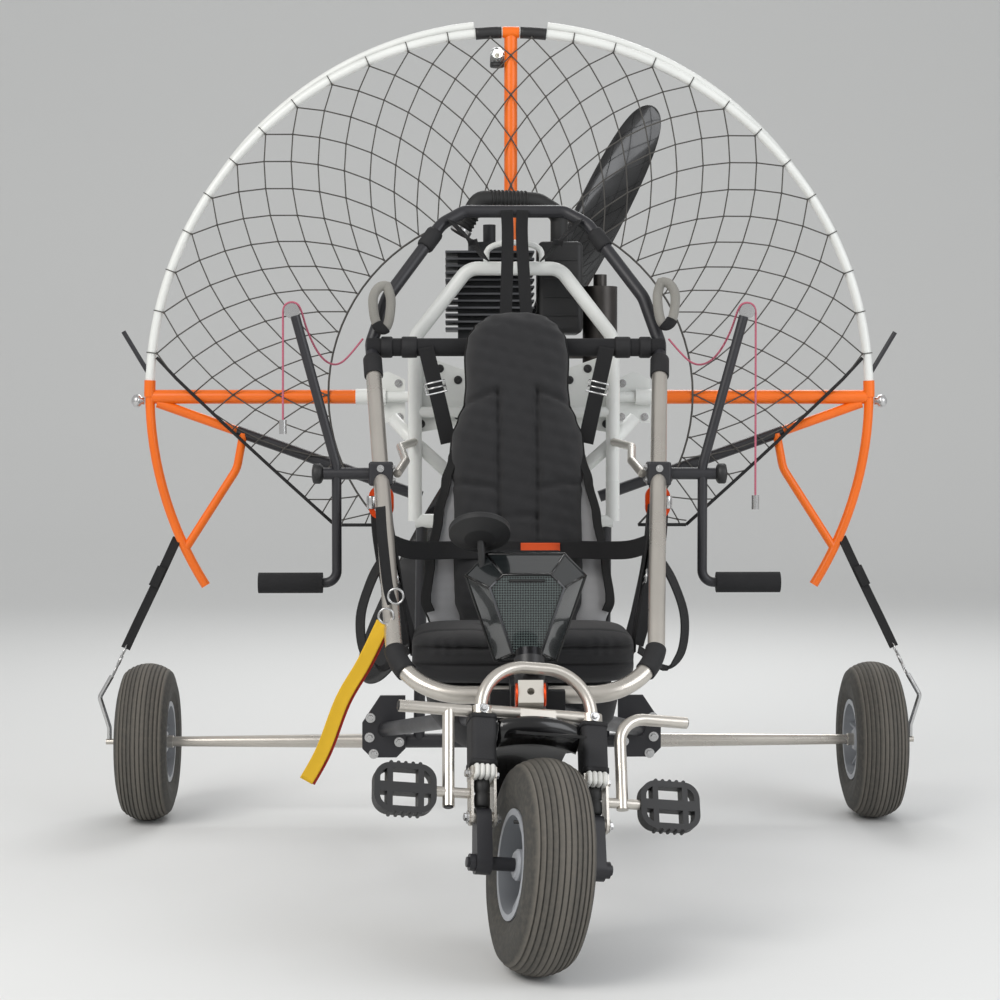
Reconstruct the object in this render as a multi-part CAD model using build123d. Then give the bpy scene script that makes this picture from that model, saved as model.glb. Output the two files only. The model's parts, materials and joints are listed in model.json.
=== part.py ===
from build123d import *
import math
import os

# Paramotor trike, millimetres, +Z up, front towards -Y.
# Sizes below are driving dimensions; the modelling origin lies on the ground
# under the rear axle, and every piece is moved to the middle of the box at the end.

# Stance and fits
WHEELBASE = 1240
TRACK_HALF = 767
OVERHANG = 235
SEAT_GAP = 0.3
RUN_FIT = 0.05

# Wheels
TYRE_R = 165
TYRE_HALF_W = 52.5
TREAD_HALF_W = 47
CROWN_R = 70
BEAD_R = 82
BEAD_HALF_W = 42
RIM_HALF_W = 46.5
RIM_WALL = 7
RIM_LIP = 3
RIM_LIP_T = 2.5
HUB_R = 24
HUB_HALF_L = 40
HUB_CHAMFER = 4
SPINDLE_R = 8
SPOKES = 5
SPOKE_W = 24
SPOKE_T = 14

# Steering head and crown
RAKE = 28
STEER_AT_REST = 13
FORK_LENGTH = 302
FORK_OFFSET = 40
FORK_HALF_W = 90
STEERER_R = 15
HEAD_R = 25
HEAD_HALF_L = 52
TOP_NUT_H = 14
CROWN_T = 14
CROWN_R_OUT = 29
CROWN_TUBE_D = 19
LEG_CLAMP_R = 17
NOSE_REACH = 50
NOSE_HALF_W = 20
NOSE_H = 38
NOSE_Z = -22
TOW_HOLE_R = 6
TOW_HOLE_DEPTH = 22
NECK_HALF_W = 30
NECK_H = 60
NECK_BACK_Y = -925
WING_HALF_W = 62
WING_H = 70
WING_T = 30
WING_DROP = 23

# Fork legs, foot bars and pedals
ARCH_D = 20
ARCH_BEND = 73
SLEEVE_W = 44
SLEEVE_L = 87
SLEEVE_FIT = 20
BAND_W = 34
BAND_H = 16
LINK_PLATE_T = 4
LINK_PLATE_W = 26
LINK_L = 78
LINK_PIN_R = 9
ARM_W = 24
ARM_EYE_R = 15
ARM_END_R = 18
DISC_R = 82
DISC_T = 4
DISC_X = 58
DISC_NOTCHES = 24
DISC_NOTCH_R = 4.5
GUARD_GAP = 34
GUARD_T = 4
GUARD_HALF_W = 56
GUARD_START = -25
GUARD_SWEEP = 78
PEDAL_X = 212
PEDAL_Z = -194
PEDAL_W = 97
PEDAL_H = 77
PEDAL_BAR = 9
PEDAL_T = 22
PEDAL_TEETH = 5
STUB_R = 8
FOOT_BAR_D = 19
FOOT_BAR_END_X = 222
FOOT_BAR_X = 143
FOOT_BAR_LOW = -217
FOOT_HOOK_X = 136
FOOT_HOOK_END_X = 249
FOOT_HOOK_TOP = -52
FOOT_HOOK_LOW = -204
FOOT_HOOK_BEND = 42

# Lower frame
CLAMP_IN_X = 235
CLAMP_OUT_X = 304
CLAMP_DEPTH = 40
CLAMP_H = 48
CLAMP_Y = 4
BEAM_R = 15
AXLE_ROOT_R = 15
AXLE_GRIP = 49
AXLE_TIP_BACK = 67
AXLE_TIP_R = 10.5
AXLE_COLLAR_R = 13
AXLE_COLLAR_L = 12
AXLE_END_OUT = 89
AXLE_END_R = 6
HOOK_ROD_D = 10
HOOK_BACK = 7
HOOK_RISE = 24
HOOK_OUT = (20, 88)
HOOK_TIP = (-6, 133)
HOOK_BEND = 14
PLATE_T = 8
PLATE_IN_X = 224
PLATE_OUT_X = 315
PLATE_LOW = 133
PLATE_TOP = 264
RAIL_D = 30
RAIL_IN_X = 46
RAIL_OUT_X = 270
RAIL_BACK_Z = 190
STAY_D = 24
STAY_FOOT_X = 196
RING_D = 30
RING_TOP = (278, -350, 951)
RING_FOOT = (216, -928, 386)
RING_BEND = 120
ROLL_D = 25
ROLL_KNEE = 62
ROLL_SIDE = (252, -285, 1085)
ROLL_SHOULDER = (145, -220, 1235)
ROLL_CROWN = (100, -205, 1261)
ROLL_BENDS = (24, 60, 60, 30, 30, 60, 60, 24)
CROSS_D = 35
CROSS_HALF_W = 290
CROSS_Y = -318
CROSS_Z = 986

# Propeller cage, in the plane CAGE_Y behind the axle
CAGE_Y = 60
CAGE_Z = 897
HOOP_R = 768
HOOP_D = 20
GUARD_HOOP_D = 18
GUARD_HOOP_RISE = 38
GUARD_HOOP_IN = 18
GUARD_HOOP_START = 6
GUARD_HOOP_END = 61
SIDE_ANGLE = 89
LEG_GAP_ANGLE = 0.1
LEG_END_ANGLE = 122
BRACE_D = 18
BRACE_ANGLE = 115.3
BRACE_BEND = 60
BRACE_SHARE = 0.324
BRACE_KNEE = (14, -75)
STRUT_OUT = (-16, -17)
STRUT_IN = (190, 680)
STRUT_SHARE = 0.40
STRUT_D = 21
STRUT_TUBE_D = 25
STRUT_TUBE_LAP = 60
SLEEVE_R = 12
SLEEVE_HALF_ANGLE = 1.3
SPAR_R = 15
TOP_SPAR_R = 14
SPAR_BACK = 5
SPAR_DROP = 4
TOP_SPAR_Z = 1160
HORN_R = 5
HORN_ANGLE = 87
HORN_RUN = (56, 94)
LAMP_R = 15
LAMP_H = 42
LAMP_DROP = 31
NET_T = 2.5
NET_KNOTS = 54
NET_CELL = 58
NET_STRING = 2.4
NET_EDGE = 5
NET_IN = 7
NET_INNER_R = 340
NET_SIDE_ANGLE = 84
NET_FOOT = (375, 620)

# Power unit
FRAME_Y = -180
FRAME_D = 28
FRAME_HALF_W = 200
FRAME_LOW = 640
FRAME_SIDE_TOP = 1010
FRAME_TOP = 1149
FRAME_TOP_HALF_W = 92
FRAME_BEND = 40
CROSS_TUBE_D = 22
CROSS_TUBE_Z = 860
MOUNT_BACK_Y = -150
MOUNT_H = 90
GUSSET_IN = 26
GUSSET_OUT = 100
GUSSET_T = 6
GUSSET_BACK = 18
GUSSET_DROP = 55
GUSSET_SHOULDER = 37
SPAR_IN = 88
SOCKET_L = 64
SOCKET_WALL = 1.7
CASE_HALF_W = 75
CASE_H = 190
CASE_Z = 925
CASE_BACK = 18
CASE_ROUND = 14
CYL_X = -48
CYL_Y = -75
CYL_HALF_W = 90
CYL_DEPTH = 130
CYL_LOW = 1020
CYL_TOP = 1190
FIN_T = 5
FIN_REACH = 25
FINS = 12
HEAD_COVER_R = 44
HEAD_COVER_H = 18
PLUG_R = 13
PLUG_H = 38
SHAFT_R = 12
DRIVE_T = 14
DRIVE_LOW_R = 70
DRIVE_TOP_R = 30
SOCKET_ARM = (26, 28)
AIR_BOX_X = 96
AIR_BOX_Y = -80
AIR_BOX_W = 92
AIR_BOX_DEPTH = 110
AIR_BOX_H = 188
AIR_BOX_ROUND = 12
AIR_RIB_T = 3
AIR_RIBS = 4
MUFFLER_X = 182
MUFFLER_Y = -60
MUFFLER_R = 36
MUFFLER_LOW = 960
MUFFLER_L = 160
TAIL_R = 14
TAIL_REACH = 25
HOSE_D = 36
HOSE_MOUTH = (-110, -150, 1222)
HOSE_TOP_Z = 1291
HOSE_BENDS = (24, 40, 24)
TANK_W = 300
TANK_DEPTH = 190
TANK_H = 168
TANK_ROUND = 30

# Propeller; blade sections: radius, chord, thickness, twist
PROP_Y = 190
PROP_TILT = 26.6
PROP_HUB_R = 45
PROP_HUB_NECK_R = 33
PROP_HUB_GAP = 60
PROP_R = 710
BLADE = ((25, 52, 26, 34), (250, 95, 16, 24), (520, 88, 11, 15), (PROP_R, 46, 6, 10))

# Hang points and brake levers
HANG_SHARE = 0.363
HANG_BLOCK = 44
HANG_ARM_D = 16
HANG_ARM_Z = 800
HANG_ARM_RUN = 150
LINK_H = 62
LINK_W = 46
LINK_T = 10
LINK_WALL = 10
LEVER_D = 18
LEVER_X = 337
LEVER_KNEE_Z = 760
LEVER_TOP = (412, 1035)
LEVER_BENDS = (22, 50)
PIVOT_R = 11
PIVOT_OUT = 24
GRIP_Z = 545
GRIP_OUT_X = 475
GRIP_L = 118
GRIP_R = 19
GRIP_LIP = 6
PULLEY_R = 14
PULLEY_T = 10
PULLEY_OUT = 6
PULLEY_SEAT = 5
CORD_D = 4

# Seat
BACK_LEAN = 10.5
BACK_T = 72
BACK_HALF_W = 128
BACK_L = 452
BACK_ROUND = 44
REST_HALF_W = 99
REST_TOP = 56
REST_L = 260
REST_ROUND = 84
WING_PAD_HALF_W = 168
WING_PAD_L = 300
WING_PAD_T = 40
PAD_EDGE = 18
CHANNEL_W = 20
CHANNEL_D = 10
CHANNEL_L = 330
BACK_DROP = 505
CUSHION_HALF_W = 196
CUSHION_FRONT = -815
CUSHION_LOW = 385
CUSHION_TOP = 476
CUSHION_ROUND = 40
BAG_W = 300
BAG_L = 260
BAG_Y = -620
BAG_H = 50
POUCH_W = 150
POUCH_L = 170
POUCH_H = 90
SEAT_STRAP_W = 32
SEAT_STRAP_RISE = 34
SEAT_STRAP_YS = (-640, -560)
WEBBING_T = 3

# Front pod; sections: y, half widths at the top, waist and foot, heights at the top, waist and foot
POD = ((-835, 58, 92, 44, 622, 588, 452),
       (-872, 66, 102, 52, 618, 582, 436),
       (-935, 40, 62, 24, 588, 566, 456))
POD_POST_R = 14
POD_POST_TOP = (0, -905, 470)
MIRROR_R = 52
MIRROR_T = 8
MIRROR_BACK = 10
MIRROR_AT = (-78, -880, 655)
MIRROR_TILT = 142
MIRROR_FOOT = (-70, -880, 560)
MIRROR_STALK_R = 6

# Loose webbing
STAY_STRAP_ANGLE = 113
STAY_STRAP_W = 25
PULL_TOP = (-243, -828, 498)
PULL_END = (-376, -828, 225)
PULL_W = 24

# Brake cords: hand-chosen route from the roll bar's foot to the lever's pulley and over it
CORD_ROUTE = ((299, -318, 1002), (320, -346, 972), (340, -390, 950), (358, -440, 950), (375, -490, 968),
              (392, -534, 1008), (402, -560, 1051), (411.4, -560, 1060), (424.6, -560, 1060),
              (434, -560, 1051))
# Sides of the cords: name, sign of x, height of the free end
CORD_ENDS = (("left", -1, 845), ("right", 1, 706))
SNAP_R = 7
SNAP_L = 26

NODES = {}


def node(name, *shapes):
    """Keep the solids of one named piece."""
    NODES[name] = [solid for shape in shapes for solid in shape.solids()]


def pair(shape):
    """A piece and its mirror image on the other side of the vehicle."""
    return shape, mirror(shape, about=Plane.YZ)


def main_solid(shape):
    """The largest solid left after a cut."""
    return shape.solids().sort_by(SortBy.VOLUME)[-1]


def bar(start, end, radius):
    """A straight round bar."""
    start = Vector(start)
    end = Vector(end)
    return Solid.make_cylinder(radius, (end - start).length, Plane(start, z_dir=end - start))


def bent_tube(points, diameter, bends):
    """A round tube through the points, its corners bent to the given radii."""
    path = FilletPolyline(*points, radius=bends)
    return sweep(Plane(path @ 0, z_dir=path % 0) * Circle(diameter / 2), path=path)


def turned(profile):
    """A solid of revolution about the X axis from a closed profile in the XY plane."""
    return revolve(make_face(profile), Axis.X)


def rounded_box(size_x, size_y, size_z, radius):
    """A box with all its edges rounded."""
    block = Box(size_x, size_y, size_z)
    return fillet(block.edges(), radius)


# Wheels, about the X axis at the origin

def tyre():
    """Balloon tyre: a crowned tread and bulged side walls down to the beads."""
    shoulder = TYRE_R - CROWN_R + math.sqrt(CROWN_R**2 - TREAD_HALF_W**2)
    belly = (shoulder + BEAD_R) / 2
    crown = ThreePointArc((-TREAD_HALF_W, shoulder), (0, TYRE_R), (TREAD_HALF_W, shoulder))
    right = ThreePointArc((TREAD_HALF_W, shoulder), (TYRE_HALF_W, belly), (BEAD_HALF_W, BEAD_R))
    bead = Line((BEAD_HALF_W, BEAD_R), (-BEAD_HALF_W, BEAD_R))
    left = ThreePointArc((-BEAD_HALF_W, BEAD_R), (-TYRE_HALF_W, belly), (-TREAD_HALF_W, shoulder))
    return turned([crown, right, bead, left])


def rim():
    """Moulded rim: a barrel with lips, flat spokes and a bored hub."""
    outer = BEAD_R - SEAT_GAP
    lip = outer + RIM_LIP
    half = RIM_HALF_W
    seat = half - RIM_LIP_T
    barrel = turned(Polyline(
        (-half, outer - RIM_WALL), (half, outer - RIM_WALL), (half, lip), (seat, lip),
        (seat, outer), (-seat, outer), (-seat, lip), (-half, lip), close=True))
    face_r = HUB_R - HUB_CHAMFER
    hub = turned(Polyline((-HUB_HALF_L, 0), (HUB_HALF_L, 0), (HUB_HALF_L, face_r),
                          (HUB_HALF_L - HUB_CHAMFER, HUB_R), (HUB_CHAMFER - HUB_HALF_L, HUB_R),
                          (-HUB_HALF_L, face_r), close=True))
    reach = outer - RIM_WALL / 2
    wheel = barrel + hub
    for index in range(SPOKES):
        spoke = Pos(0, 0, reach / 2) * Box(SPOKE_T, SPOKE_W, reach)
        wheel += Rot(360 / SPOKES * index, 0, 0) * spoke
    return wheel - bar((-HUB_HALF_L, 0, 0), (HUB_HALF_L, 0, 0), SPINDLE_R + RUN_FIT)


for side, x in (("left", -TRACK_HALF), ("right", TRACK_HALF)):
    node("rear_tyre_" + side, Pos(x, 0, TYRE_R) * tyre())
    node("rear_rim_" + side, Pos(x, 0, TYRE_R) * rim())

# Steering: a local frame with z up the raked axis and y to the rear,
# its height set so that the leaned front tyre just stands on the ground

rake_sin = math.sin(math.radians(RAKE))
rake_cos = math.cos(math.radians(RAKE))
steer_sin = math.sin(math.radians(STEER_AT_REST))
steer_cos = math.cos(math.radians(STEER_AT_REST))
lean = math.asin(steer_sin * rake_sin)
stand_height = (TYRE_R - CROWN_R) * math.cos(lean) + CROWN_R
head_y = FORK_OFFSET * rake_cos + FORK_LENGTH * rake_sin - WHEELBASE
head_z = stand_height + FORK_LENGTH * rake_cos - FORK_OFFSET * steer_cos * rake_sin
head = Plane((0, head_y, head_z), x_dir=(1, 0, 0), z_dir=(0, rake_sin, rake_cos)).location
steered = head * Rot(0, 0, STEER_AT_REST)
front_hub = steered * Pos(0, -FORK_OFFSET, -FORK_LENGTH)

node("front_tyre", front_hub * tyre())
node("front_rim", front_hub * rim())

disc_out = DISC_X + DISC_T
disc_hub = bar((HUB_HALF_L + SEAT_GAP, 0, 0), (disc_out, 0, 0), HUB_R - HUB_CHAMFER)
disc = bar((DISC_X, 0, 0), (disc_out, 0, 0), DISC_R)
for index in range(DISC_NOTCHES):
    notch = bar((HUB_HALF_L, 0, DISC_R), (disc_out + DISC_T, 0, DISC_R), DISC_NOTCH_R)
    disc -= Rot(360 / DISC_NOTCHES * index, 0, 0) * notch
disc_bore = bar((0, 0, 0), (disc_out + DISC_T, 0, 0), SPINDLE_R + RUN_FIT)
node("brake_disc", front_hub * (disc + disc_hub - disc_bore))

# Fork crown: a plate welded to the steerer and to a cross tube, with a split clamp round each leg
crown_z = -HEAD_HALF_L - SEAT_GAP - CROWN_T / 2
crown_sketch = make_hull(
    (Circle(CROWN_R_OUT) + Pos(0, -FORK_OFFSET) * Rectangle(2 * CROWN_R_OUT, CROWN_TUBE_D)).edges())
crown = Pos(0, 0, crown_z - CROWN_T / 2) * extrude(crown_sketch, CROWN_T)
crown += bar((0, 0, crown_z), (0, 0, HEAD_HALF_L + TOP_NUT_H), STEERER_R)
crown += bar((0, 0, HEAD_HALF_L + SEAT_GAP), (0, 0, HEAD_HALF_L + TOP_NUT_H), STEERER_R + TOP_NUT_H / 2)
tube_z = crown_z + (CROWN_TUBE_D - CROWN_T) / 2
crown += bar((-FORK_HALF_W, -FORK_OFFSET, tube_z), (FORK_HALF_W, -FORK_OFFSET, tube_z), CROWN_TUBE_D / 2)
for x in (-FORK_HALF_W, FORK_HALF_W):
    leg_place = Pos(x, -FORK_OFFSET, crown_z)
    crown += leg_place * Cylinder(LEG_CLAMP_R, CROWN_T)
    crown -= leg_place * Cylinder(ARCH_D / 2 + SEAT_GAP, 2 * CROWN_TUBE_D)
node("fork_crown", steered * crown)

# Fork arch: one bent tube over the crown, down into the sleeves at both sides
sleeve_top = crown_z - CROWN_T / 2 - SEAT_GAP
sleeve_low = sleeve_top - SLEEVE_L
arch_top = crown_z + CROWN_T / 2 + ARCH_BEND
arch_low = sleeve_low + SLEEVE_FIT
arch = bent_tube(
    [(-FORK_HALF_W, -FORK_OFFSET, arch_low), (-FORK_HALF_W, -FORK_OFFSET, arch_top),
     (FORK_HALF_W, -FORK_OFFSET, arch_top), (FORK_HALF_W, -FORK_OFFSET, arch_low)], ARCH_D, ARCH_BEND)
node("fork_arch", steered * arch)

# Fork legs: a padded sleeve, a silver link of two plates and a pin, and a dark arm down to the axle
block_w = SLEEVE_W - LINK_PLATE_T
plate_x = block_w / 2 - LINK_PLATE_T / 2
pin_z = sleeve_low - LINK_L
sleeves = []
links = []
arms = []
for x in (-FORK_HALF_W, FORK_HALF_W):
    sleeve = rounded_box(block_w, SLEEVE_W, SLEEVE_L, LINK_PLATE_T * 2)
    sleeve -= bar((0, 0, SLEEVE_FIT - SLEEVE_L / 2 - SEAT_GAP), (0, 0, SLEEVE_L / 2), ARCH_D / 2 + SEAT_GAP)
    sleeves.append(Pos(x, -FORK_OFFSET, (sleeve_top + sleeve_low) / 2) * sleeve)
    leg = Pos(x, -FORK_OFFSET, 0)
    band_top = sleeve_low - SEAT_GAP
    link = Pos(0, 0, band_top - BAND_H / 2) * Box(block_w, BAND_W, BAND_H)
    for offset in (-plate_x, plate_x):
        plate_outline = make_hull((Pos(0, band_top - BAND_H) * Rectangle(LINK_PLATE_W, BAND_H)
                                   + Pos(0, pin_z) * Circle(LINK_PLATE_W / 2)).edges())
        link += Pos(offset - LINK_PLATE_T / 2, 0, 0) * extrude(Plane.YZ * plate_outline, LINK_PLATE_T)
    link += bar((-SLEEVE_W / 2, 0, pin_z), (SLEEVE_W / 2, 0, pin_z), LINK_PIN_R)
    links.append(leg * link)
    arm_outline = make_hull((Pos(0, -FORK_LENGTH) * Circle(ARM_END_R)
                             + Pos(0, pin_z) * Circle(ARM_EYE_R)).edges())
    arm = Pos(-ARM_W / 2, 0, 0) * extrude(Plane.YZ * arm_outline, ARM_W)
    arm -= bar((-ARM_W, 0, pin_z), (ARM_W, 0, pin_z), LINK_PIN_R + SEAT_GAP)
    arm -= bar((-ARM_W, 0, -FORK_LENGTH), (ARM_W, 0, -FORK_LENGTH), SPINDLE_R + SEAT_GAP)
    arms.append(leg * arm)
node("fork_sleeves", *(steered * sleeve for sleeve in sleeves))
node("fork_links", *(steered * link for link in links))
node("fork_arms", *(steered * arm for arm in arms))

axle_half = FORK_HALF_W + ARM_W / 2
nut_out = axle_half + AXLE_COLLAR_R
spindle = bar((-nut_out, 0, 0), (nut_out, 0, 0), SPINDLE_R)
for sign, inner_x in ((-1, HUB_HALF_L), (1, disc_out)):
    nut_in = axle_half + SEAT_GAP
    spindle += bar((sign * nut_in, 0, 0), (sign * (nut_out - SPINDLE_R / 2), 0, 0), AXLE_COLLAR_R)
    spindle += bar((sign * (inner_x + 2 * SEAT_GAP), 0, 0),
                   (sign * (FORK_HALF_W - ARM_W / 2 - SEAT_GAP), 0, 0), AXLE_TIP_R)
node("front_axle", front_hub * spindle)

# Mudguard: a curved shell over the tyre, with a post under the crown
guard_mid = TYRE_R + GUARD_GAP + GUARD_T / 2
guard_profile = Pos(0, guard_mid) * Rectangle(2 * GUARD_HALF_W, GUARD_T)
guard = Rot(90 - GUARD_START - GUARD_SWEEP, 0, 0) * revolve(guard_profile, Axis.X, GUARD_SWEEP)
post_low = guard_mid - GUARD_T / 2 - FORK_LENGTH
post_top = crown_z - CROWN_T / 2 - SEAT_GAP
guard_post = Box(2 * NOSE_HALF_W, 3 * GUARD_T, post_top - post_low)
guard_post = Pos(0, -FORK_OFFSET / 2, (post_low + post_top) / 2) * guard_post
node("mudguard", steered * (Pos(0, -FORK_OFFSET, -FORK_LENGTH) * guard + guard_post))

# Foot bars: silver tubes with the pedals' stub axles, a crossed pair on the left and a bent one on the right
stub_in = FORK_HALF_W + block_w / 2 + SEAT_GAP
stub_out = PEDAL_X - PEDAL_W / 2 - SEAT_GAP
clamp_out = FORK_HALF_W + LEG_CLAMP_R + SEAT_GAP
foot_bar_r = FOOT_BAR_D / 2
bar_start = (-clamp_out, -FORK_OFFSET, crown_z)
cross_foot_bar = bar(bar_start, (-FOOT_BAR_END_X, -FORK_OFFSET, crown_z), foot_bar_r)
bar_top = (-FOOT_BAR_X, -FORK_OFFSET, crown_z)
cross_foot_bar += bar(bar_top, (-FOOT_BAR_X, -FORK_OFFSET, FOOT_BAR_LOW), foot_bar_r)
bent_foot_bar = bent_tube(
    [(FOOT_HOOK_X, -FORK_OFFSET, FOOT_HOOK_LOW), (FOOT_HOOK_X, -FORK_OFFSET, FOOT_HOOK_TOP),
     (FOOT_HOOK_END_X, -FORK_OFFSET, FOOT_HOOK_TOP)], FOOT_BAR_D, FOOT_HOOK_BEND)
foot_bars = []
for sign, tube in ((-1, cross_foot_bar), (1, bent_foot_bar)):
    stub = bar((sign * stub_in, -FORK_OFFSET, PEDAL_Z), (sign * stub_out, -FORK_OFFSET, PEDAL_Z), STUB_R)
    foot_bars.append(steered * (tube + stub))
node("foot_bars", *foot_bars)

# Pedals: toothed platform frames on the stub axles
pedal_sketch = RectangleRounded(PEDAL_W, PEDAL_H, PEDAL_H / 3)
for index in range(PEDAL_TEETH):
    tooth_x = (index / (PEDAL_TEETH - 1) - 0.5) * (PEDAL_W - 2 * PEDAL_H / 3)
    for tooth_y in (-PEDAL_H / 2, PEDAL_H / 2):
        pedal_sketch += Pos(tooth_x, tooth_y) * Circle(PEDAL_BAR / 3)
pedal_sketch -= RectangleRounded(PEDAL_W - 2 * PEDAL_BAR, PEDAL_H - 2 * PEDAL_BAR, PEDAL_H / 3 - PEDAL_BAR)
pedal_sketch += Rectangle(PEDAL_W - PEDAL_BAR, 2 * STUB_R)
for x in (-PEDAL_W / 4, PEDAL_W / 4):
    pedal_sketch += Pos(x, 0) * Rectangle(PEDAL_BAR, PEDAL_H - PEDAL_BAR)
pedal = Rot(90, 0, 0) * extrude(pedal_sketch, PEDAL_T / 2, both=True)
node("pedals", *(steered * Pos(sign * PEDAL_X, -FORK_OFFSET, PEDAL_Z) * pedal for sign in (-1, 1)))

# Ring frame round the pilot: one long bent tube, open at the top
ring_path = [RING_TOP, RING_FOOT, (-RING_FOOT[0], *RING_FOOT[1:]), (-RING_TOP[0], *RING_TOP[1:])]
ring_clear = bent_tube(ring_path, RING_D + 2 * SEAT_GAP, RING_BEND)
node("ring_frame", bent_tube(ring_path, RING_D, RING_BEND))

# Steering head: a bored tube, a nose block with a tow hole and a neck to the ring
wing_y = NECK_BACK_Y - WING_T - RAIL_D / 4
steering_head = head * bar((0, 0, -HEAD_HALF_L), (0, 0, HEAD_HALF_L), HEAD_R)
steering_head += head * (Pos(0, -NOSE_REACH / 2, NOSE_Z) * Box(2 * NOSE_HALF_W, NOSE_REACH, NOSE_H))
neck_face = Plane.XZ * Rectangle(2 * NECK_HALF_W, NECK_H)
neck_front = Pos(0, head_y, head_z - HEAD_R) * neck_face
steering_head += loft([neck_front, Pos(0, NECK_BACK_Y, RING_FOOT[2]) * neck_face])
wing_z = RING_FOOT[2] - WING_DROP
steering_head += Pos(0, wing_y, wing_z) * Box(2 * WING_HALF_W, WING_T, WING_H)
steering_head -= ring_clear
steering_head -= head * bar((0, 0, -2 * HEAD_HALF_L), (0, 0, 2 * HEAD_HALF_L), STEERER_R + RUN_FIT)
steering_head -= head * bar((0, -NOSE_REACH, NOSE_Z), (0, TOW_HOLE_DEPTH - NOSE_REACH, NOSE_Z), TOW_HOLE_R)
steering_head -= head * (Pos(0, 0, -HEAD_HALF_L - CROWN_T) * Cylinder(2 * CROWN_R_OUT, 2 * CROWN_T))
node("steering_head", main_solid(steering_head))

# Rear axle: clamp plates and tapered tubes with turned spindles
clamp_mid_x = (CLAMP_IN_X + CLAMP_OUT_X) / 2
clamp = Pos(clamp_mid_x, CLAMP_Y, TYRE_R) * Box(CLAMP_OUT_X - CLAMP_IN_X, CLAMP_DEPTH, CLAMP_H)
plate_chamfer = PLATE_OUT_X - CLAMP_OUT_X + PLATE_T
plate_outline = Polyline(
    (PLATE_IN_X, PLATE_LOW + plate_chamfer), (PLATE_IN_X + plate_chamfer, PLATE_LOW),
    (PLATE_OUT_X - plate_chamfer, PLATE_LOW), (PLATE_OUT_X, PLATE_LOW + plate_chamfer),
    (PLATE_OUT_X, PLATE_TOP - 3 * plate_chamfer), (PLATE_OUT_X - 2 * plate_chamfer, PLATE_TOP),
    (PLATE_IN_X, PLATE_TOP), close=True)
plate = Pos(0, CLAMP_Y - CLAMP_DEPTH / 2, 0) * extrude(Plane.XZ * make_face(plate_outline), PLATE_T)
axle_in = CLAMP_OUT_X - AXLE_GRIP
axle_bore = bar((axle_in, 0, TYRE_R), (CLAMP_OUT_X, 0, TYRE_R), AXLE_ROOT_R + SEAT_GAP)
side_plate = plate + clamp - axle_bore
node("side_plates", *pair(side_plate))

hub_in = TRACK_HALF - HUB_HALF_L - SEAT_GAP
hub_out = TRACK_HALF + HUB_HALF_L + SEAT_GAP
axle_end = TRACK_HALF + AXLE_END_OUT
collar_in = hub_in - AXLE_COLLAR_L
collar_out = hub_out + AXLE_COLLAR_L
axle = turned(Polyline(
    (axle_in, 0), (axle_in, AXLE_ROOT_R), (CLAMP_OUT_X, AXLE_ROOT_R),
    (TRACK_HALF - AXLE_TIP_BACK, AXLE_TIP_R), (collar_in, AXLE_TIP_R), (collar_in, AXLE_COLLAR_R),
    (hub_in, AXLE_COLLAR_R), (hub_in, SPINDLE_R), (hub_out, SPINDLE_R), (hub_out, AXLE_COLLAR_R),
    (collar_out, AXLE_COLLAR_R), (collar_out, AXLE_END_R), (axle_end, AXLE_END_R), (axle_end, 0),
    close=True))
node("rear_axles", *pair(Pos(0, 0, TYRE_R) * axle))

hook_foot = Vector(axle_end - HOOK_BACK, 0, TYRE_R + AXLE_END_R + SEAT_GAP)
hook_bend = hook_foot + Vector(HOOK_OUT[0], 0, HOOK_OUT[1])
hook_tip = hook_foot + Vector(HOOK_TIP[0], 0, HOOK_TIP[1])
hook_knee = hook_foot + Vector(0, 0, HOOK_RISE)
axle_hook = bent_tube([hook_foot, hook_knee, hook_bend, hook_tip], HOOK_ROD_D, HOOK_BEND)
node("axle_hooks", *pair(axle_hook))

rail_front = (RAIL_IN_X, wing_y - WING_T / 2, wing_z)
rail = bar(rail_front, (RAIL_OUT_X, -CLAMP_DEPTH / 4, RAIL_BACK_Z), RAIL_D / 2) - steering_head - side_plate
node("keel_rails", *pair(main_solid(rail)))

# Centre beam of the axle, with welded stays up to the engine frame's foot
axle_beam = bar((-CLAMP_IN_X, 0, TYRE_R), (CLAMP_IN_X, 0, TYRE_R), BEAM_R)
frame_corner = Vector(FRAME_HALF_W, FRAME_Y, FRAME_LOW)
frame_foot = bar(frame_corner, (-FRAME_HALF_W, FRAME_Y, FRAME_LOW), FRAME_D / 2 + SEAT_GAP)
stay_top = (FRAME_HALF_W - FRAME_D / 2, FRAME_Y, FRAME_LOW)
for stay in pair(bar((STAY_FOOT_X, 0, TYRE_R), stay_top, STAY_D / 2)):
    axle_beam += main_solid(stay - frame_foot)
node("axle_beam", axle_beam)

# Roll bar over the pilot's head, and the padded bar across its foot
ring_end = Vector(RING_TOP)
ring_dir = (ring_end - Vector(RING_FOOT)).normalized()
roll_path = [ring_end + ring_dir * SEAT_GAP, ring_end + ring_dir * ROLL_KNEE,
             Vector(ROLL_SIDE), Vector(ROLL_SHOULDER), Vector(ROLL_CROWN)]
roll_points = roll_path + [Vector(-p.X, p.Y, p.Z) for p in reversed(roll_path)]
node("roll_bar", bent_tube(roll_points, ROLL_D, ROLL_BENDS))
roll_clear = bent_tube(roll_points, ROLL_D + 2 * SEAT_GAP, ROLL_BENDS)
cross_bar = bar((-CROSS_HALF_W, CROSS_Y, CROSS_Z), (CROSS_HALF_W, CROSS_Y, CROSS_Z), CROSS_D / 2)
node("cross_bar", main_solid(cross_bar - roll_clear))


# Propeller cage: half a hoop over the top, with a second hoop raised behind its crown

def on_hoop(angle, radius, y=CAGE_Y):
    """A point of the cage's plane, at an angle from the top, positive to the right."""
    turn = math.radians(angle)
    return Vector(radius * math.sin(turn), y, CAGE_Z + radius * math.cos(turn))


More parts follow.
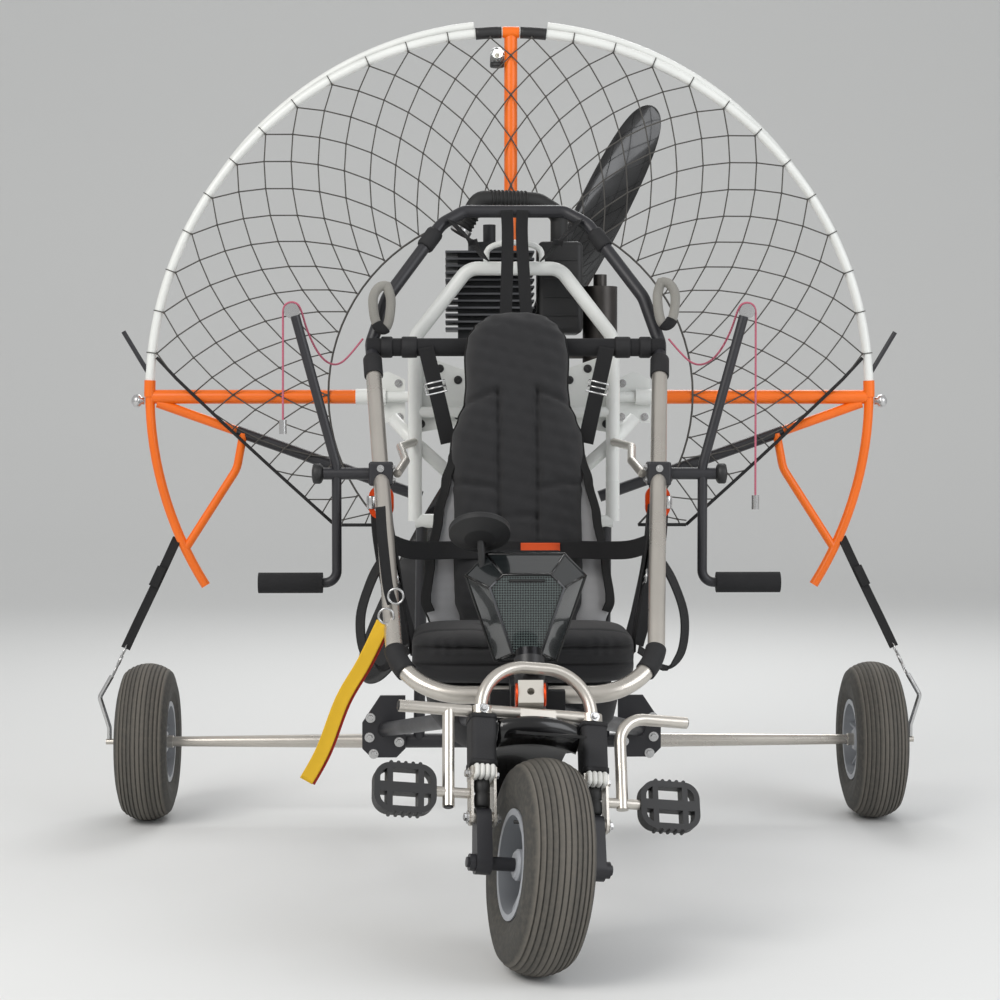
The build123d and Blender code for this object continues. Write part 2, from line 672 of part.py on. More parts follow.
def hoop_sleeve(middle):
    """A short sleeve round the hoop, at an angle from the top."""
    section = Pos(HOOP_R, 0) * (Circle(SLEEVE_R) - Circle(HOOP_D / 2 + SEAT_GAP))
    piece = revolve(Plane.XY * section, Axis.Y, 2 * SLEEVE_HALF_ANGLE)
    return Pos(0, CAGE_Y, CAGE_Z) * Rot(0, middle - SLEEVE_HALF_ANGLE - 90, 0) * piece


def arc_tube(centre_z, radius, y, first, last, diameter):
    """A tube bent to an arc about a centre in the cage's mid-plane."""
    points = []
    for angle in (first, (first + last) / 2, last):
        turn = math.radians(angle)
        points.append((radius * math.sin(turn), y, centre_z + radius * math.cos(turn)))
    path = ThreePointArc(*points)
    return sweep(Plane(path @ 0, z_dir=path % 0) * Circle(diameter / 2), path=path)


node("cage_hoop", arc_tube(CAGE_Z, HOOP_R, CAGE_Y, -SIDE_ANGLE, SIDE_ANGLE, HOOP_D))
guard_hoop_y = CAGE_Y + HOOP_D / 2 + GUARD_HOOP_D / 2 + SEAT_GAP
guard_hoop = arc_tube(CAGE_Z + GUARD_HOOP_RISE, HOOP_R - GUARD_HOOP_IN, guard_hoop_y,
                      GUARD_HOOP_START, GUARD_HOOP_END, GUARD_HOOP_D)
node("cage_guard_hoops", *pair(guard_hoop))

# Orange legs carry the hoop's line down both sides, each with a welded brace up to its strut
spar_y = CAGE_Y + SPAR_BACK
spar_z = CAGE_Z - SPAR_DROP
strut_out = Vector(HOOP_R + STRUT_OUT[0], spar_y, CAGE_Z + STRUT_OUT[1])
strut_in = Vector(STRUT_IN[0], spar_y, STRUT_IN[1])
strut_run = strut_in - strut_out
strut_mid = strut_out + strut_run * STRUT_SHARE
strut_lap = strut_mid - strut_run.normalized() * STRUT_TUBE_LAP
hoop_clear = arc_tube(CAGE_Z, HOOP_R, CAGE_Y, -LEG_END_ANGLE, LEG_END_ANGLE, HOOP_D + 2 * SEAT_GAP)
strut_clear = bar(strut_out, strut_in, STRUT_TUBE_D / 2 + SEAT_GAP)
spar_clear = bar((FRAME_HALF_W, spar_y, spar_z), (HOOP_R, spar_y, spar_z), SPAR_R + SEAT_GAP)
brace_top = strut_out + strut_run * BRACE_SHARE
brace_top = Vector(brace_top.X, CAGE_Y, brace_top.Z)
brace_knee = brace_top + Vector(BRACE_KNEE[0], 0, BRACE_KNEE[1])
brace = bent_tube([brace_top, brace_knee, on_hoop(BRACE_ANGLE, HOOP_R)], BRACE_D, BRACE_BEND)
leg = arc_tube(CAGE_Z, HOOP_R, CAGE_Y, SIDE_ANGLE + LEG_GAP_ANGLE, LEG_END_ANGLE, HOOP_D)
node("cage_legs", *pair(leg + main_solid(brace - strut_clear)))
node("cage_struts", *pair(main_solid(bar(strut_out, strut_mid, STRUT_D / 2) - hoop_clear - spar_clear)))
strut_tube = bar(strut_lap, strut_in, STRUT_TUBE_D / 2)
strut_tube -= bar(strut_lap, strut_mid + strut_run.normalized(), STRUT_D / 2 + SEAT_GAP)
node("strut_tubes", *pair(strut_tube))

# Orange spars with sleeves round the hoop: one up to its crown, one to each side
spar_in_x = FRAME_HALF_W + SPAR_IN
side_spar = bar((spar_in_x, spar_y, spar_z), (HOOP_R - SEAT_GAP, spar_y, spar_z), SPAR_R) - hoop_clear
top_spar = bar((0, spar_y, TOP_SPAR_Z), (0, spar_y, CAGE_Z + HOOP_R - SEAT_GAP), TOP_SPAR_R) - hoop_clear
side_spar = main_solid(side_spar) + hoop_sleeve(SIDE_ANGLE)
node("cage_spars", main_solid(top_spar) + hoop_sleeve(0), *pair(side_spar))

horn_foot = on_hoop(HORN_ANGLE, HOOP_R)
horn = bar(horn_foot, horn_foot + Vector(HORN_RUN[0], 0, HORN_RUN[1]), HORN_R) - hoop_clear
node("line_horns", *pair(main_solid(horn)))
lamp_x = -TOP_SPAR_R - LAMP_R - SEAT_GAP
lamp_top = CAGE_Z + HOOP_R - LAMP_DROP
node("strobe_lamp", bar((lamp_x, spar_y, lamp_top - LAMP_H), (lamp_x, spar_y, lamp_top), LAMP_R))


# Net: rings of diamond cells between the hoop and a border rope round the engine

def net_rings():
    """Radii of the rings of knots, each as deep below the last as the cell's side allows."""
    rings = [HOOP_R - NET_IN - NET_EDGE]
    while True:
        radius = rings[-1]
        fall = math.sqrt(NET_CELL**2 - (math.pi * radius / NET_KNOTS)**2)
        if radius - fall < NET_INNER_R + NET_EDGE:
            return rings
        rings.append(radius - fall)


def clip(polygon, inside):
    """The part of a convex polygon where inside(point), a linear distance, is positive."""
    kept = []
    for index, point in enumerate(polygon):
        before = polygon[index - 1]
        near = inside(before)
        far = inside(point)
        if near * far < 0:
            kept.append(before + (point - before) * (near / (near - far)))
        if far > 0:
            kept.append(point)
    return kept


net_y = spar_y - SPAR_R - SEAT_GAP
net_r = HOOP_R - NET_IN
rings = net_rings()
net_inner = rings[-1] - NET_EDGE
net_side = on_hoop(NET_SIDE_ANGLE, net_r, net_y)
foot_out = Vector(NET_FOOT[0], net_y, NET_FOOT[1])
foot_in = Vector(math.sqrt(net_inner**2 - (CAGE_Z - NET_FOOT[1])**2), net_y, NET_FOOT[1])
right_side = [net_side, foot_out, foot_in]
left_side = [Vector(-p.X, p.Y, p.Z) for p in right_side]
net_edge = Wire([
    Edge.make_three_point_arc(left_side[0], on_hoop(0, net_r, net_y), right_side[0]),
    Edge.make_line(right_side[0], right_side[1]),
    Edge.make_line(right_side[1], right_side[2]),
    Edge.make_three_point_arc(right_side[2], on_hoop(0, net_inner, net_y), left_side[2]),
    Edge.make_line(left_side[2], left_side[1]),
    Edge.make_line(left_side[1], left_side[0])])
slope = math.atan2(net_side.Z - foot_out.Z, net_side.X - foot_out.X)
borders = [lambda p: p.Z - foot_out.Z - NET_EDGE]
for sign in (-1, 1):
    borders.append(lambda p, sign=sign: (p.Z - foot_out.Z) * math.cos(slope)
                   - (sign * p.X - foot_out.X) * math.sin(slope) - NET_EDGE)
half_pitch = 180 / NET_KNOTS
cells = []
for row, radius in enumerate(rings):
    for knot in range(NET_KNOTS):
        angle = (2 * knot + row) * half_pitch
        corners = [on_hoop(angle - half_pitch, radius, net_y), on_hoop(angle + half_pitch, radius, net_y)]
        if row + 1 < len(rings):
            corners.append(on_hoop(angle, rings[row + 1], net_y))
        if row > 0:
            corners.insert(1, on_hoop(angle, rings[row - 1], net_y))
        centre = sum(corners, Vector()) / len(corners)
        shrink = 1 - NET_STRING / (radius * math.sin(math.radians(half_pitch)))
        cell = [centre + (corner - centre) * shrink for corner in corners]
        for border in borders:
            cell = clip(cell, border)
        if len(cell) > 2:
            cells.append(Wire.make_polygon(cell))
node("cage_net", Solid.extrude(Face(net_edge, cells), Vector(0, -NET_T, 0)))

# Power unit: a white tube frame with a mount plate and outriggers to the cage's spars
engine_frame = bent_tube(
    [(-FRAME_HALF_W, FRAME_Y, FRAME_LOW), (-FRAME_HALF_W, FRAME_Y, FRAME_SIDE_TOP),
     (-FRAME_TOP_HALF_W, FRAME_Y, FRAME_TOP), (FRAME_TOP_HALF_W, FRAME_Y, FRAME_TOP),
     (FRAME_HALF_W, FRAME_Y, FRAME_SIDE_TOP), (FRAME_HALF_W, FRAME_Y, FRAME_LOW)], FRAME_D, FRAME_BEND)
for z, diameter in ((FRAME_LOW, FRAME_D), (CROSS_TUBE_Z, CROSS_TUBE_D)):
    engine_frame += bar((-FRAME_HALF_W, FRAME_Y, z), (FRAME_HALF_W, FRAME_Y, z), diameter / 2)
mount_mid_y = (FRAME_Y + MOUNT_BACK_Y) / 2
engine_frame += Pos(0, mount_mid_y, CROSS_TUBE_Z) * Box(2 * CASE_HALF_W, MOUNT_BACK_Y - FRAME_Y, MOUNT_H)
gusset_y = spar_y + GUSSET_BACK
for x in (-FRAME_HALF_W, FRAME_HALF_W):
    engine_frame += bar((x, FRAME_Y, spar_z), (x, gusset_y, spar_z), CROSS_TUBE_D / 2)
node("engine_frame", engine_frame)

# Gussets: plates with a socket for each side spar, joined to the outrigger by a short link
gusset_outline = Polyline(
    (FRAME_HALF_W + GUSSET_IN, spar_z - GUSSET_DROP), (FRAME_HALF_W + GUSSET_OUT, spar_z - GUSSET_DROP),
    (FRAME_HALF_W + GUSSET_OUT, spar_z + GUSSET_SHOULDER),
    (FRAME_HALF_W + (GUSSET_IN + GUSSET_OUT) / 2, spar_z + GUSSET_DROP),
    (FRAME_HALF_W + GUSSET_IN, spar_z + GUSSET_SHOULDER), close=True)
gusset = Pos(0, gusset_y, 0) * extrude(Plane.XZ * make_face(gusset_outline), GUSSET_T)
socket_r = SPAR_R + SEAT_GAP + SOCKET_WALL
socket_in = spar_in_x - SOCKET_L / 3
gusset += bar((socket_in, spar_y, spar_z), (socket_in + SOCKET_L, spar_y, spar_z), socket_r)
link_start = FRAME_HALF_W + CROSS_TUBE_D / 2 + SEAT_GAP
gusset += bar((link_start, spar_y, spar_z), (spar_in_x, spar_y, spar_z), CROSS_TUBE_D / 2)
spar_seat = Vector(spar_in_x - SEAT_GAP, spar_y, spar_z)
gusset -= bar(spar_seat, spar_seat + Vector(SOCKET_L, 0, 0), SPAR_R + SEAT_GAP)
node("frame_gussets", *pair(gusset))

# Engine: crankcase, finned cylinder with its head and plug, and the propeller shaft
case_front = MOUNT_BACK_Y + SEAT_GAP
case_mid_y = (case_front + CASE_BACK) / 2
case = rounded_box(2 * CASE_HALF_W, CASE_BACK - case_front, CASE_H, CASE_ROUND)
engine = Pos(0, case_mid_y, CASE_Z) * case
core_low = CYL_LOW - CASE_ROUND
engine += Pos(CYL_X, CYL_Y, (core_low + CYL_TOP) / 2) * Box(
    2 * (CYL_HALF_W - FIN_REACH), CYL_DEPTH - 2 * FIN_REACH, CYL_TOP - core_low)
fin_pitch = (CYL_TOP - CYL_LOW) / FINS
for index in range(FINS):
    fin_z = CYL_LOW + fin_pitch * (index + 0.7)
    engine += Pos(CYL_X, CYL_Y, fin_z) * Box(2 * CYL_HALF_W, CYL_DEPTH, FIN_T)
engine += Pos(CYL_X, CYL_Y, CYL_TOP + HEAD_COVER_H / 2) * Cylinder(HEAD_COVER_R, HEAD_COVER_H)
engine += Pos(CYL_X, CYL_Y, CYL_TOP + HEAD_COVER_H + PLUG_H / 2) * Cylinder(PLUG_R, PLUG_H)
engine += bar((0, case_mid_y, CAGE_Z), (0, PROP_Y + PULLEY_R, CAGE_Z), SHAFT_R)
node("engine", engine)

drive_low = Pos(0, CAGE_Z) * Circle(DRIVE_LOW_R)
drive_high = Pos(0, TOP_SPAR_Z - DRIVE_TOP_R) * Circle(DRIVE_TOP_R)
drive_back = CASE_BACK + SEAT_GAP + DRIVE_T
drive_outline = make_hull((drive_low + drive_high).edges())
drive_plate = Pos(0, drive_back, 0) * extrude(Plane.XZ * drive_outline, DRIVE_T)
drive_plate -= bar((0, 0, CAGE_Z), (0, 2 * drive_back, CAGE_Z), 1.5 * SHAFT_R)
socket_low = TOP_SPAR_Z - 2 * SOCKET_L / 3
arm_end_y = spar_y - SPAR_BACK
drive_plate += Pos(0, (CASE_BACK + DRIVE_T / 2 + arm_end_y) / 2, TOP_SPAR_Z - DRIVE_TOP_R) * Box(
    SOCKET_ARM[0], arm_end_y - CASE_BACK - DRIVE_T / 2, SOCKET_ARM[1])
bore_r = TOP_SPAR_R + SEAT_GAP
drive_plate += bar((0, spar_y, socket_low), (0, spar_y, socket_low + SOCKET_L), bore_r + 2 * SOCKET_WALL)
drive_plate -= bar((0, spar_y, TOP_SPAR_Z - SEAT_GAP), (0, spar_y, TOP_SPAR_Z + SOCKET_L), bore_r)
node("drive_plate", drive_plate)

# Ribbed air box, intake hose over the engine's top, and exhaust can
air_box_z = CYL_LOW + SEAT_GAP + AIR_BOX_H / 2
air_box = rounded_box(AIR_BOX_W, AIR_BOX_DEPTH, AIR_BOX_H, AIR_BOX_ROUND)
rib_pitch = AIR_BOX_H / (AIR_RIBS + 1)
for index in range(AIR_RIBS):
    rib_z = rib_pitch * (index + 1) - AIR_BOX_H / 2
    rib = Box(AIR_BOX_W - 2 * AIR_BOX_ROUND, 2 * AIR_RIB_T, AIR_RIB_T)
    air_box += Pos(0, -AIR_BOX_DEPTH / 2, rib_z) * rib
node("air_box", Pos(AIR_BOX_X, AIR_BOX_Y, air_box_z) * air_box)
muffler_top = MUFFLER_LOW + MUFFLER_L
muffler = bar((MUFFLER_X, MUFFLER_Y, MUFFLER_LOW), (MUFFLER_X, MUFFLER_Y, muffler_top), MUFFLER_R)
tail_low = Vector(MUFFLER_X, MUFFLER_Y, MUFFLER_LOW - TAIL_REACH)
muffler += bar(tail_low, (MUFFLER_X, MUFFLER_Y, muffler_top + TAIL_REACH), TAIL_R)
pipe_z = MUFFLER_LOW + TAIL_REACH
muffler += bar((CASE_HALF_W + SEAT_GAP, MUFFLER_Y, pipe_z), (MUFFLER_X, MUFFLER_Y, pipe_z), TAIL_R)
node("exhaust", muffler)
hose_end = Vector(AIR_BOX_X, AIR_BOX_Y, air_box_z + AIR_BOX_H / 2 + SEAT_GAP)
hose_knee = Vector(AIR_BOX_X, AIR_BOX_Y, HOSE_TOP_Z - HOSE_BENDS[2])
hose_rise = Vector(HOSE_MOUTH[0] + HOSE_BENDS[1], HOSE_MOUTH[1], HOSE_TOP_Z)
hose_turn = Vector(AIR_BOX_X - AIR_BOX_W / 2, (HOSE_MOUTH[1] + AIR_BOX_Y) / 2, HOSE_TOP_Z)
hose_path = [Vector(HOSE_MOUTH), hose_rise, hose_turn, hose_knee, hose_end]
node("intake_hose", bent_tube(hose_path, HOSE_D, HOSE_BENDS))
tank_z = FRAME_LOW - FRAME_D / 2 - SEAT_GAP - TANK_H / 2
node("fuel_tank", Pos(0, FRAME_Y + FRAME_D, tank_z) * rounded_box(TANK_W, TANK_DEPTH, TANK_H, TANK_ROUND))


# Propeller: two twisted tapered blades on a round hub

def blade_section(radius, chord, thickness, twist):
    """A lens-shaped section of the blade, across the blade's length."""
    upper = ThreePointArc((-chord / 2, 0), (0, thickness * 0.7), (chord / 2, 0))
    lower = ThreePointArc((chord / 2, 0), (0, -thickness * 0.3), (-chord / 2, 0))
    return Plane.XY.offset(radius) * (Rot(0, 0, twist) * make_face([upper, lower]))


blade = loft([blade_section(*row) for row in BLADE])
hub_front = CASE_BACK + PROP_HUB_GAP - PROP_Y
propeller = bar((0, 0, 0), (0, OVERHANG - PROP_Y, 0), PROP_HUB_R)
propeller += bar((0, hub_front, 0), (0, SHAFT_R, 0), PROP_HUB_NECK_R)
for turn in (0, 180):
    propeller += Rot(0, turn + PROP_TILT, 0) * (Pos(0, (OVERHANG - PROP_Y) / 3, 0) * blade)
propeller -= bar((0, hub_front, 0), (0, PULLEY_R + SEAT_GAP, 0), SHAFT_R + RUN_FIT)
node("propeller", Pos(0, PROP_Y, CAGE_Z) * propeller)

# Hang points on the ring: clamp blocks with the levers' pivots, arms from the engine frame, carabiners
hang = Vector(RING_TOP) + (Vector(RING_FOOT) - Vector(RING_TOP)) * HANG_SHARE
lever_path = [(GRIP_OUT_X, hang.Y, GRIP_Z), (LEVER_X, hang.Y, GRIP_Z), (LEVER_X, hang.Y, LEVER_KNEE_Z),
              (LEVER_TOP[0], hang.Y, LEVER_TOP[1])]
lever_clear = bent_tube(lever_path, LEVER_D + 2 * SEAT_GAP, LEVER_BENDS)
block = rounded_box(HANG_BLOCK, HANG_BLOCK, HANG_BLOCK, HANG_BLOCK / 9)
hang_block = Pos(hang) * block - ring_clear
pivot_end = Vector(LEVER_X + PIVOT_OUT, hang.Y, hang.Z)
hang_block += bar(hang + Vector(HANG_BLOCK / 2 - SEAT_GAP, 0, 0), pivot_end, PIVOT_R)
node("hang_blocks", *pair(main_solid(hang_block - lever_clear)))
arm_knee = Vector(FRAME_HALF_W + GUSSET_IN, FRAME_Y - HANG_ARM_RUN, HANG_ARM_Z - HANG_ARM_D / 2)
arm_turn = hang + Vector(-HANG_BLOCK, 1.5 * HANG_BLOCK, HANG_BLOCK / 2)
arm_end = hang - Vector(HANG_BLOCK / 2 + HANG_ARM_D / 2, 0, 0)
arm_path = [Vector(FRAME_HALF_W, FRAME_Y, HANG_ARM_Z), arm_knee, arm_turn, arm_end]
hang_arm = bent_tube(arm_path, HANG_ARM_D, HANG_BLOCK / 2)
hang_arm -= bar((FRAME_HALF_W, FRAME_Y, FRAME_LOW), (FRAME_HALF_W, FRAME_Y, CAGE_Z), FRAME_D / 2 + SEAT_GAP)
hang_arm -= Pos(hang) * Box(HANG_BLOCK + 2 * SEAT_GAP, HANG_BLOCK, HANG_BLOCK)
node("hang_arms", *pair(main_solid(hang_arm)))
link_z = hang.Z - HANG_BLOCK / 2 - SEAT_GAP - LINK_H / 2
link_eye = RectangleRounded(LINK_W - 2 * LINK_WALL, LINK_H - 2 * LINK_WALL, LINK_W / 2 - LINK_WALL - 2)
link_shape = RectangleRounded(LINK_W, LINK_H, LINK_W / 2 - 2) - link_eye
carabiner = Pos(hang.X, hang.Y + 2 * LINK_T, link_z) * extrude(Plane.XZ * link_shape, LINK_T)
node("carabiners", *pair(carabiner))

# Brake levers: bent bars through the pivots, foam grips below, grooved pulleys on top
node("lever_arms", *pair(bent_tube(lever_path, LEVER_D, LEVER_BENDS)))
grip_end = GRIP_OUT_X + GRIP_LIP
grip = bar((grip_end - GRIP_L, hang.Y, GRIP_Z), (grip_end, hang.Y, GRIP_Z), GRIP_R)
grip_bore_end = (GRIP_OUT_X + SEAT_GAP, hang.Y, GRIP_Z)
grip -= bar((grip_end - 2 * GRIP_L, hang.Y, GRIP_Z), grip_bore_end, LEVER_D / 2 + SEAT_GAP)
node("lever_grips", *pair(grip))
pulley_x = LEVER_TOP[0] + PULLEY_OUT
pulley_z = LEVER_TOP[1] + PULLEY_R - PULLEY_SEAT
pulley_profile = Pos(PULLEY_R / 2, 0) * Rectangle(PULLEY_R, PULLEY_T)
pulley_profile -= Pos(PULLEY_R + CORD_D / 2, 0) * Circle(CORD_D / 2 + SEAT_GAP)
pulley = Pos(pulley_x, hang.Y, pulley_z) * revolve(Plane.XY * pulley_profile, Axis.Y)
node("lever_pulleys", *pair(main_solid(pulley - lever_clear)))

# Seat back: a leaning pad with a rounded head rest, side wings and a channel between its lower pads
lean_turn = math.radians(BACK_LEAN)
back_normal = Vector(0, -math.cos(lean_turn), math.sin(lean_turn))
back_origin = Vector(0, CROSS_Y, CROSS_Z) + back_normal * (CROSS_D / 2 + SEAT_GAP)
back_plane = Plane(back_origin, x_dir=(1, 0, 0), z_dir=back_normal)
back_mid = BACK_L / 2 - BACK_DROP
rest_mid = REST_TOP - REST_L / 2
back_outline = Pos(0, back_mid) * RectangleRounded(2 * BACK_HALF_W, BACK_L, BACK_ROUND)
back_outline += Pos(0, rest_mid) * RectangleRounded(2 * REST_HALF_W, REST_L, REST_ROUND)
seat_back = extrude(back_outline, BACK_T)
seat_back = fillet(seat_back.faces().sort_by(Axis.Z)[-1].edges(), PAD_EDGE)
wing_outline = RectangleRounded(2 * WING_PAD_HALF_W, WING_PAD_L, BACK_ROUND)
wings = extrude(Pos(0, WING_PAD_L / 2 - BACK_DROP) * wing_outline, WING_PAD_T)
wings = fillet(wings.faces().sort_by(Axis.Z)[-1].edges(), PAD_EDGE)
channel = Pos(0, CHANNEL_L / 2 - BACK_DROP, BACK_T) * Box(CHANNEL_W, CHANNEL_L, 2 * CHANNEL_D)
node("seat_back", back_plane.location * (seat_back + wings - channel))

# Seat cushion with a rolled front, and the bag beneath it
back_low = back_plane.location * Pos(0, -BACK_DROP, BACK_T)
cushion_back = back_low.position.Y - SEAT_GAP
cushion_mid_y = (CUSHION_FRONT + cushion_back) / 2
cushion = Pos(0, cushion_mid_y, (CUSHION_LOW + CUSHION_TOP) / 2) * rounded_box(
    2 * CUSHION_HALF_W, cushion_back - CUSHION_FRONT, CUSHION_TOP - CUSHION_LOW, CUSHION_ROUND)
node("seat_cushion", cushion)
bag_top = CUSHION_LOW - SEAT_GAP
bag = Pos(0, BAG_Y, bag_top - BAG_H / 2) * rounded_box(BAG_W, BAG_L, BAG_H, PAD_EDGE)
pouch_z = bag_top - (BAG_H + POUCH_H) / 2
bag += Pos(0, BAG_Y + BAG_H, pouch_z) * rounded_box(POUCH_W, POUCH_L, POUCH_H, PAD_EDGE)
node("seat_bag", bag)


# Webbing: seat hangers off the ring, stays off the cage legs and a pull ribbon

def strap(start, end, width, across):
    """A flat band of webbing between two points, its width along the given direction."""
    start = Vector(start)
    end = Vector(end)
    plane = Plane((start + end) / 2, x_dir=across, z_dir=end - start)
    return plane.location * Box(width, WEBBING_T, (end - start).length)


hang_clear = Box(LINK_W + 2 * SEAT_GAP, 2 * HANG_BLOCK, 3 * HANG_BLOCK)
hang_clear = Pos(hang.X, hang.Y, hang.Z - HANG_BLOCK) * hang_clear
seat_straps = []
for y in SEAT_STRAP_YS:
    share = (RING_TOP[1] - y) / (RING_TOP[1] - RING_FOOT[1])
    on_ring = Vector(RING_TOP) + (Vector(RING_FOOT) - Vector(RING_TOP)) * share
    low = (CUSHION_HALF_W + WEBBING_T / 2 + SEAT_GAP, y, CUSHION_LOW + SEAT_STRAP_RISE)
    band = strap(low, on_ring, SEAT_STRAP_W, (0, 1, 0)) - ring_clear - hang_clear
    seat_straps += pair(band.solids().sort_by(Axis.Z)[0])
node("seat_straps", *seat_straps)

hook_clear = bar(hook_bend, hook_tip, HOOK_ROD_D / 2 + SEAT_GAP)
strap_top = on_hoop(STAY_STRAP_ANGLE, HOOP_R + HOOP_D / 2)
strap_end = hook_tip + Vector(-HOOK_ROD_D, 0, HOOK_ROD_D)
stay_strap = strap(strap_top, strap_end, STAY_STRAP_W, (0, 1, 0)) - hoop_clear - hook_clear
node("stay_straps", *pair(main_solid(stay_strap)))

pull_run = Vector(PULL_END) - Vector(PULL_TOP)
pull_across = (pull_run.Z, 0, -pull_run.X)
pull_strap = strap(PULL_TOP, PULL_END, PULL_W, pull_across) - ring_clear
node("pull_strap", main_solid(pull_strap))


# Front pod: a faceted shell on a post from the ring's foot, with a round mirror

def pod_section(y, top_w, wide_w, low_w, top_z, wide_z, low_z):
    """A six-sided outline across the pod."""
    points = [(-top_w, y, top_z), (top_w, y, top_z), (wide_w, y, wide_z),
              (low_w, y, low_z), (-low_w, y, low_z), (-wide_w, y, wide_z)]
    return Face(Wire.make_polygon(points))


pod = loft([pod_section(*row) for row in POD], ruled=True)
pod_post = bar(POD_POST_TOP, (0, *RING_FOOT[1:]), POD_POST_R) - ring_clear - steering_head
pod += pod_post.solids().sort_by(Axis.Z)[-1]
node("front_pod", pod)
mirror_place = Pos(*MIRROR_AT) * Rot(MIRROR_TILT, 0, 0)
mirror_shell = Cylinder(MIRROR_R, MIRROR_T)
mirror_shell += Pos(0, 0, (MIRROR_T + MIRROR_BACK) / 2) * Cone(MIRROR_R, MIRROR_R / 2, MIRROR_BACK)
mirror_stalk = bar(MIRROR_FOOT, MIRROR_AT, MIRROR_STALK_R) - pod
node("mirror", mirror_place * mirror_shell + mirror_stalk.solids().sort_by(Axis.Z)[-1])

# Brake cords: slack from the roll bar's foot, over the pulley, then straight down to a snap
snaps = []
for side, sign, end_z in CORD_ENDS:
    points = [Vector(sign * x, y, z) for x, y, z in CORD_ROUTE]
    points.append(Vector(points[-1].X + sign, points[-1].Y, end_z))
    radii = []
    for before, corner, after in zip(points, points[1:], points[2:]):
        turn = math.radians((corner - before).get_angle(after - corner))
        shorter = min((corner - before).length, (after - corner).length)
        radii.append(0.45 * shorter / math.tan(turn / 2))
    print(side, "cord radii", [round(radius, 1) for radius in radii])
    node("brake_cord_" + side, bent_tube(points, CORD_D, radii))
    snap_top = points[-1] - Vector(0, 0, SEAT_GAP)
    snaps.append(bar(snap_top - Vector(0, 0, SNAP_L), snap_top, SNAP_R))
node("cord_snaps", *snaps)

os.makedirs("parts", exist_ok=True)
front_face = (TYRE_R - CROWN_R) * math.sqrt(1 - (steer_sin * rake_cos)**2) + CROWN_R
shift_y = (front_face - front_hub.position.Y - OVERHANG) / 2
for name, solids in NODES.items():
    moved = [Pos(0, shift_y, 0) * solid for solid in solids]
    export_step(Compound(moved) if len(moved) > 1 else moved[0], "parts/" + name + ".step")
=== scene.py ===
import bpy
import bmesh
import json
import math
from mathutils import Matrix, Vector


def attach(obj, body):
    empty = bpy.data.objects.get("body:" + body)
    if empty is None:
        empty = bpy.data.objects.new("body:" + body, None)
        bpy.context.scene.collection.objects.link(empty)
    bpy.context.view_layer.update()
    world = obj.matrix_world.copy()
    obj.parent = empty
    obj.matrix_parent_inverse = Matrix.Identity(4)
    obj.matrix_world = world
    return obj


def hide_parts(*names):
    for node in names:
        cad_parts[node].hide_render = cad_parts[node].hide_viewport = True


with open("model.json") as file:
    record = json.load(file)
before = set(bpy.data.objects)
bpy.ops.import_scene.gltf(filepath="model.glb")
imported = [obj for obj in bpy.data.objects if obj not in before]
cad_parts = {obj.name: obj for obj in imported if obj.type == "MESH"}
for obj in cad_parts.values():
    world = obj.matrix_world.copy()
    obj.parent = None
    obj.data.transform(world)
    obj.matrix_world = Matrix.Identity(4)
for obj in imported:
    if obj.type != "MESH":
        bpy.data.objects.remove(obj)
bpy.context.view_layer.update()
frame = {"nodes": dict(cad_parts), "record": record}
nodes = frame["nodes"]
joints = {joint["name"]: joint for joint in frame["record"]["behaviour"]["joints"]}

# The studio: a pale seamless floor that curves up behind, soft daylight panels and a camera low
# in front of the nose. Every place below is given from the ground point under the rear axle.
AXLE_Y = joints["rear_left_spin"]["pos_m"][1]
CAMERA_AT = (-0.121, -4.396, 0.85)
CAMERA_YAW = math.radians(1.26)
CAMERA_PITCH = math.radians(2.28)
FOCAL_PX = 2085
SENSOR_MM = 36
FAR_CLIP = 60
FRAME_PX = 1000
FLOOR_HALF = 14.0
FLOOR_BACK = 5.0
COVE_R = 3.0
COVE_STEPS = 12
WALL_H = 9.0
SKY_STRENGTH = 0.55
PANEL_AIM = (0, -0.3, 0.7)
# Panels: name, place, size, power, colour
PANELS = (
    ("key_panel", (-2.6, -3.6, 3.4), 2.4, 120, (1, 0.98, 0.95)),
    ("fill_panel", (3.0, -3.0, 2.2), 2.6, 60, (0.95, 0.97, 1)),
    ("rim_panel", (0.6, 3.0, 3.4), 2.2, 60, (1, 1, 1)),
)


def at(x, y, z):
    """A point given from the ground under the rear axle, in the frame of the model."""
    return Vector((x, y + AXLE_Y, z))


def rgb(code):
    """A display colour such as 2A2A2A as a linear colour."""
    parts = [int(code[i:i + 2], 16) / 255 for i in (0, 2, 4)]
    return tuple(p / 12.92 if p < 0.04045 else ((p + 0.055) / 1.055) ** 2.4 for p in parts) + (1,)


def add_node(tree, kind, links=None, **settings):
    """A node with its settings, its inputs given as values or as sockets to link from."""
    item = tree.nodes.new(kind)
    for key, value in settings.items():
        setattr(item, key, value)
    for key, value in (links or {}).items():
        if isinstance(value, bpy.types.NodeSocket):
            tree.links.new(value, item.inputs[key])
        else:
            item.inputs[key].default_value = value
    return item


def material_with(name, **sockets):
    """A material whose shader sockets are set once; returns it with its tree and shader."""
    made = bpy.data.materials.new(name)
    made.use_nodes = True
    shader = made.node_tree.nodes["Principled BSDF"]
    for key, value in sockets.items():
        shader.inputs[key.replace("_", " ").title().replace("Ior", "IOR")].default_value = value
    return made, made.node_tree, shader


def add_object(name, data, body=None, finish=None, replaces=()):
    """An object in the scene that rides on a body and stands for the named nodes."""
    made = bpy.data.objects.new(name, data)
    bpy.context.collection.objects.link(made)
    if finish:
        data.materials.append(finish)
    if body:
        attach(made, body)
    if replaces:
        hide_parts(*replaces)
    return made


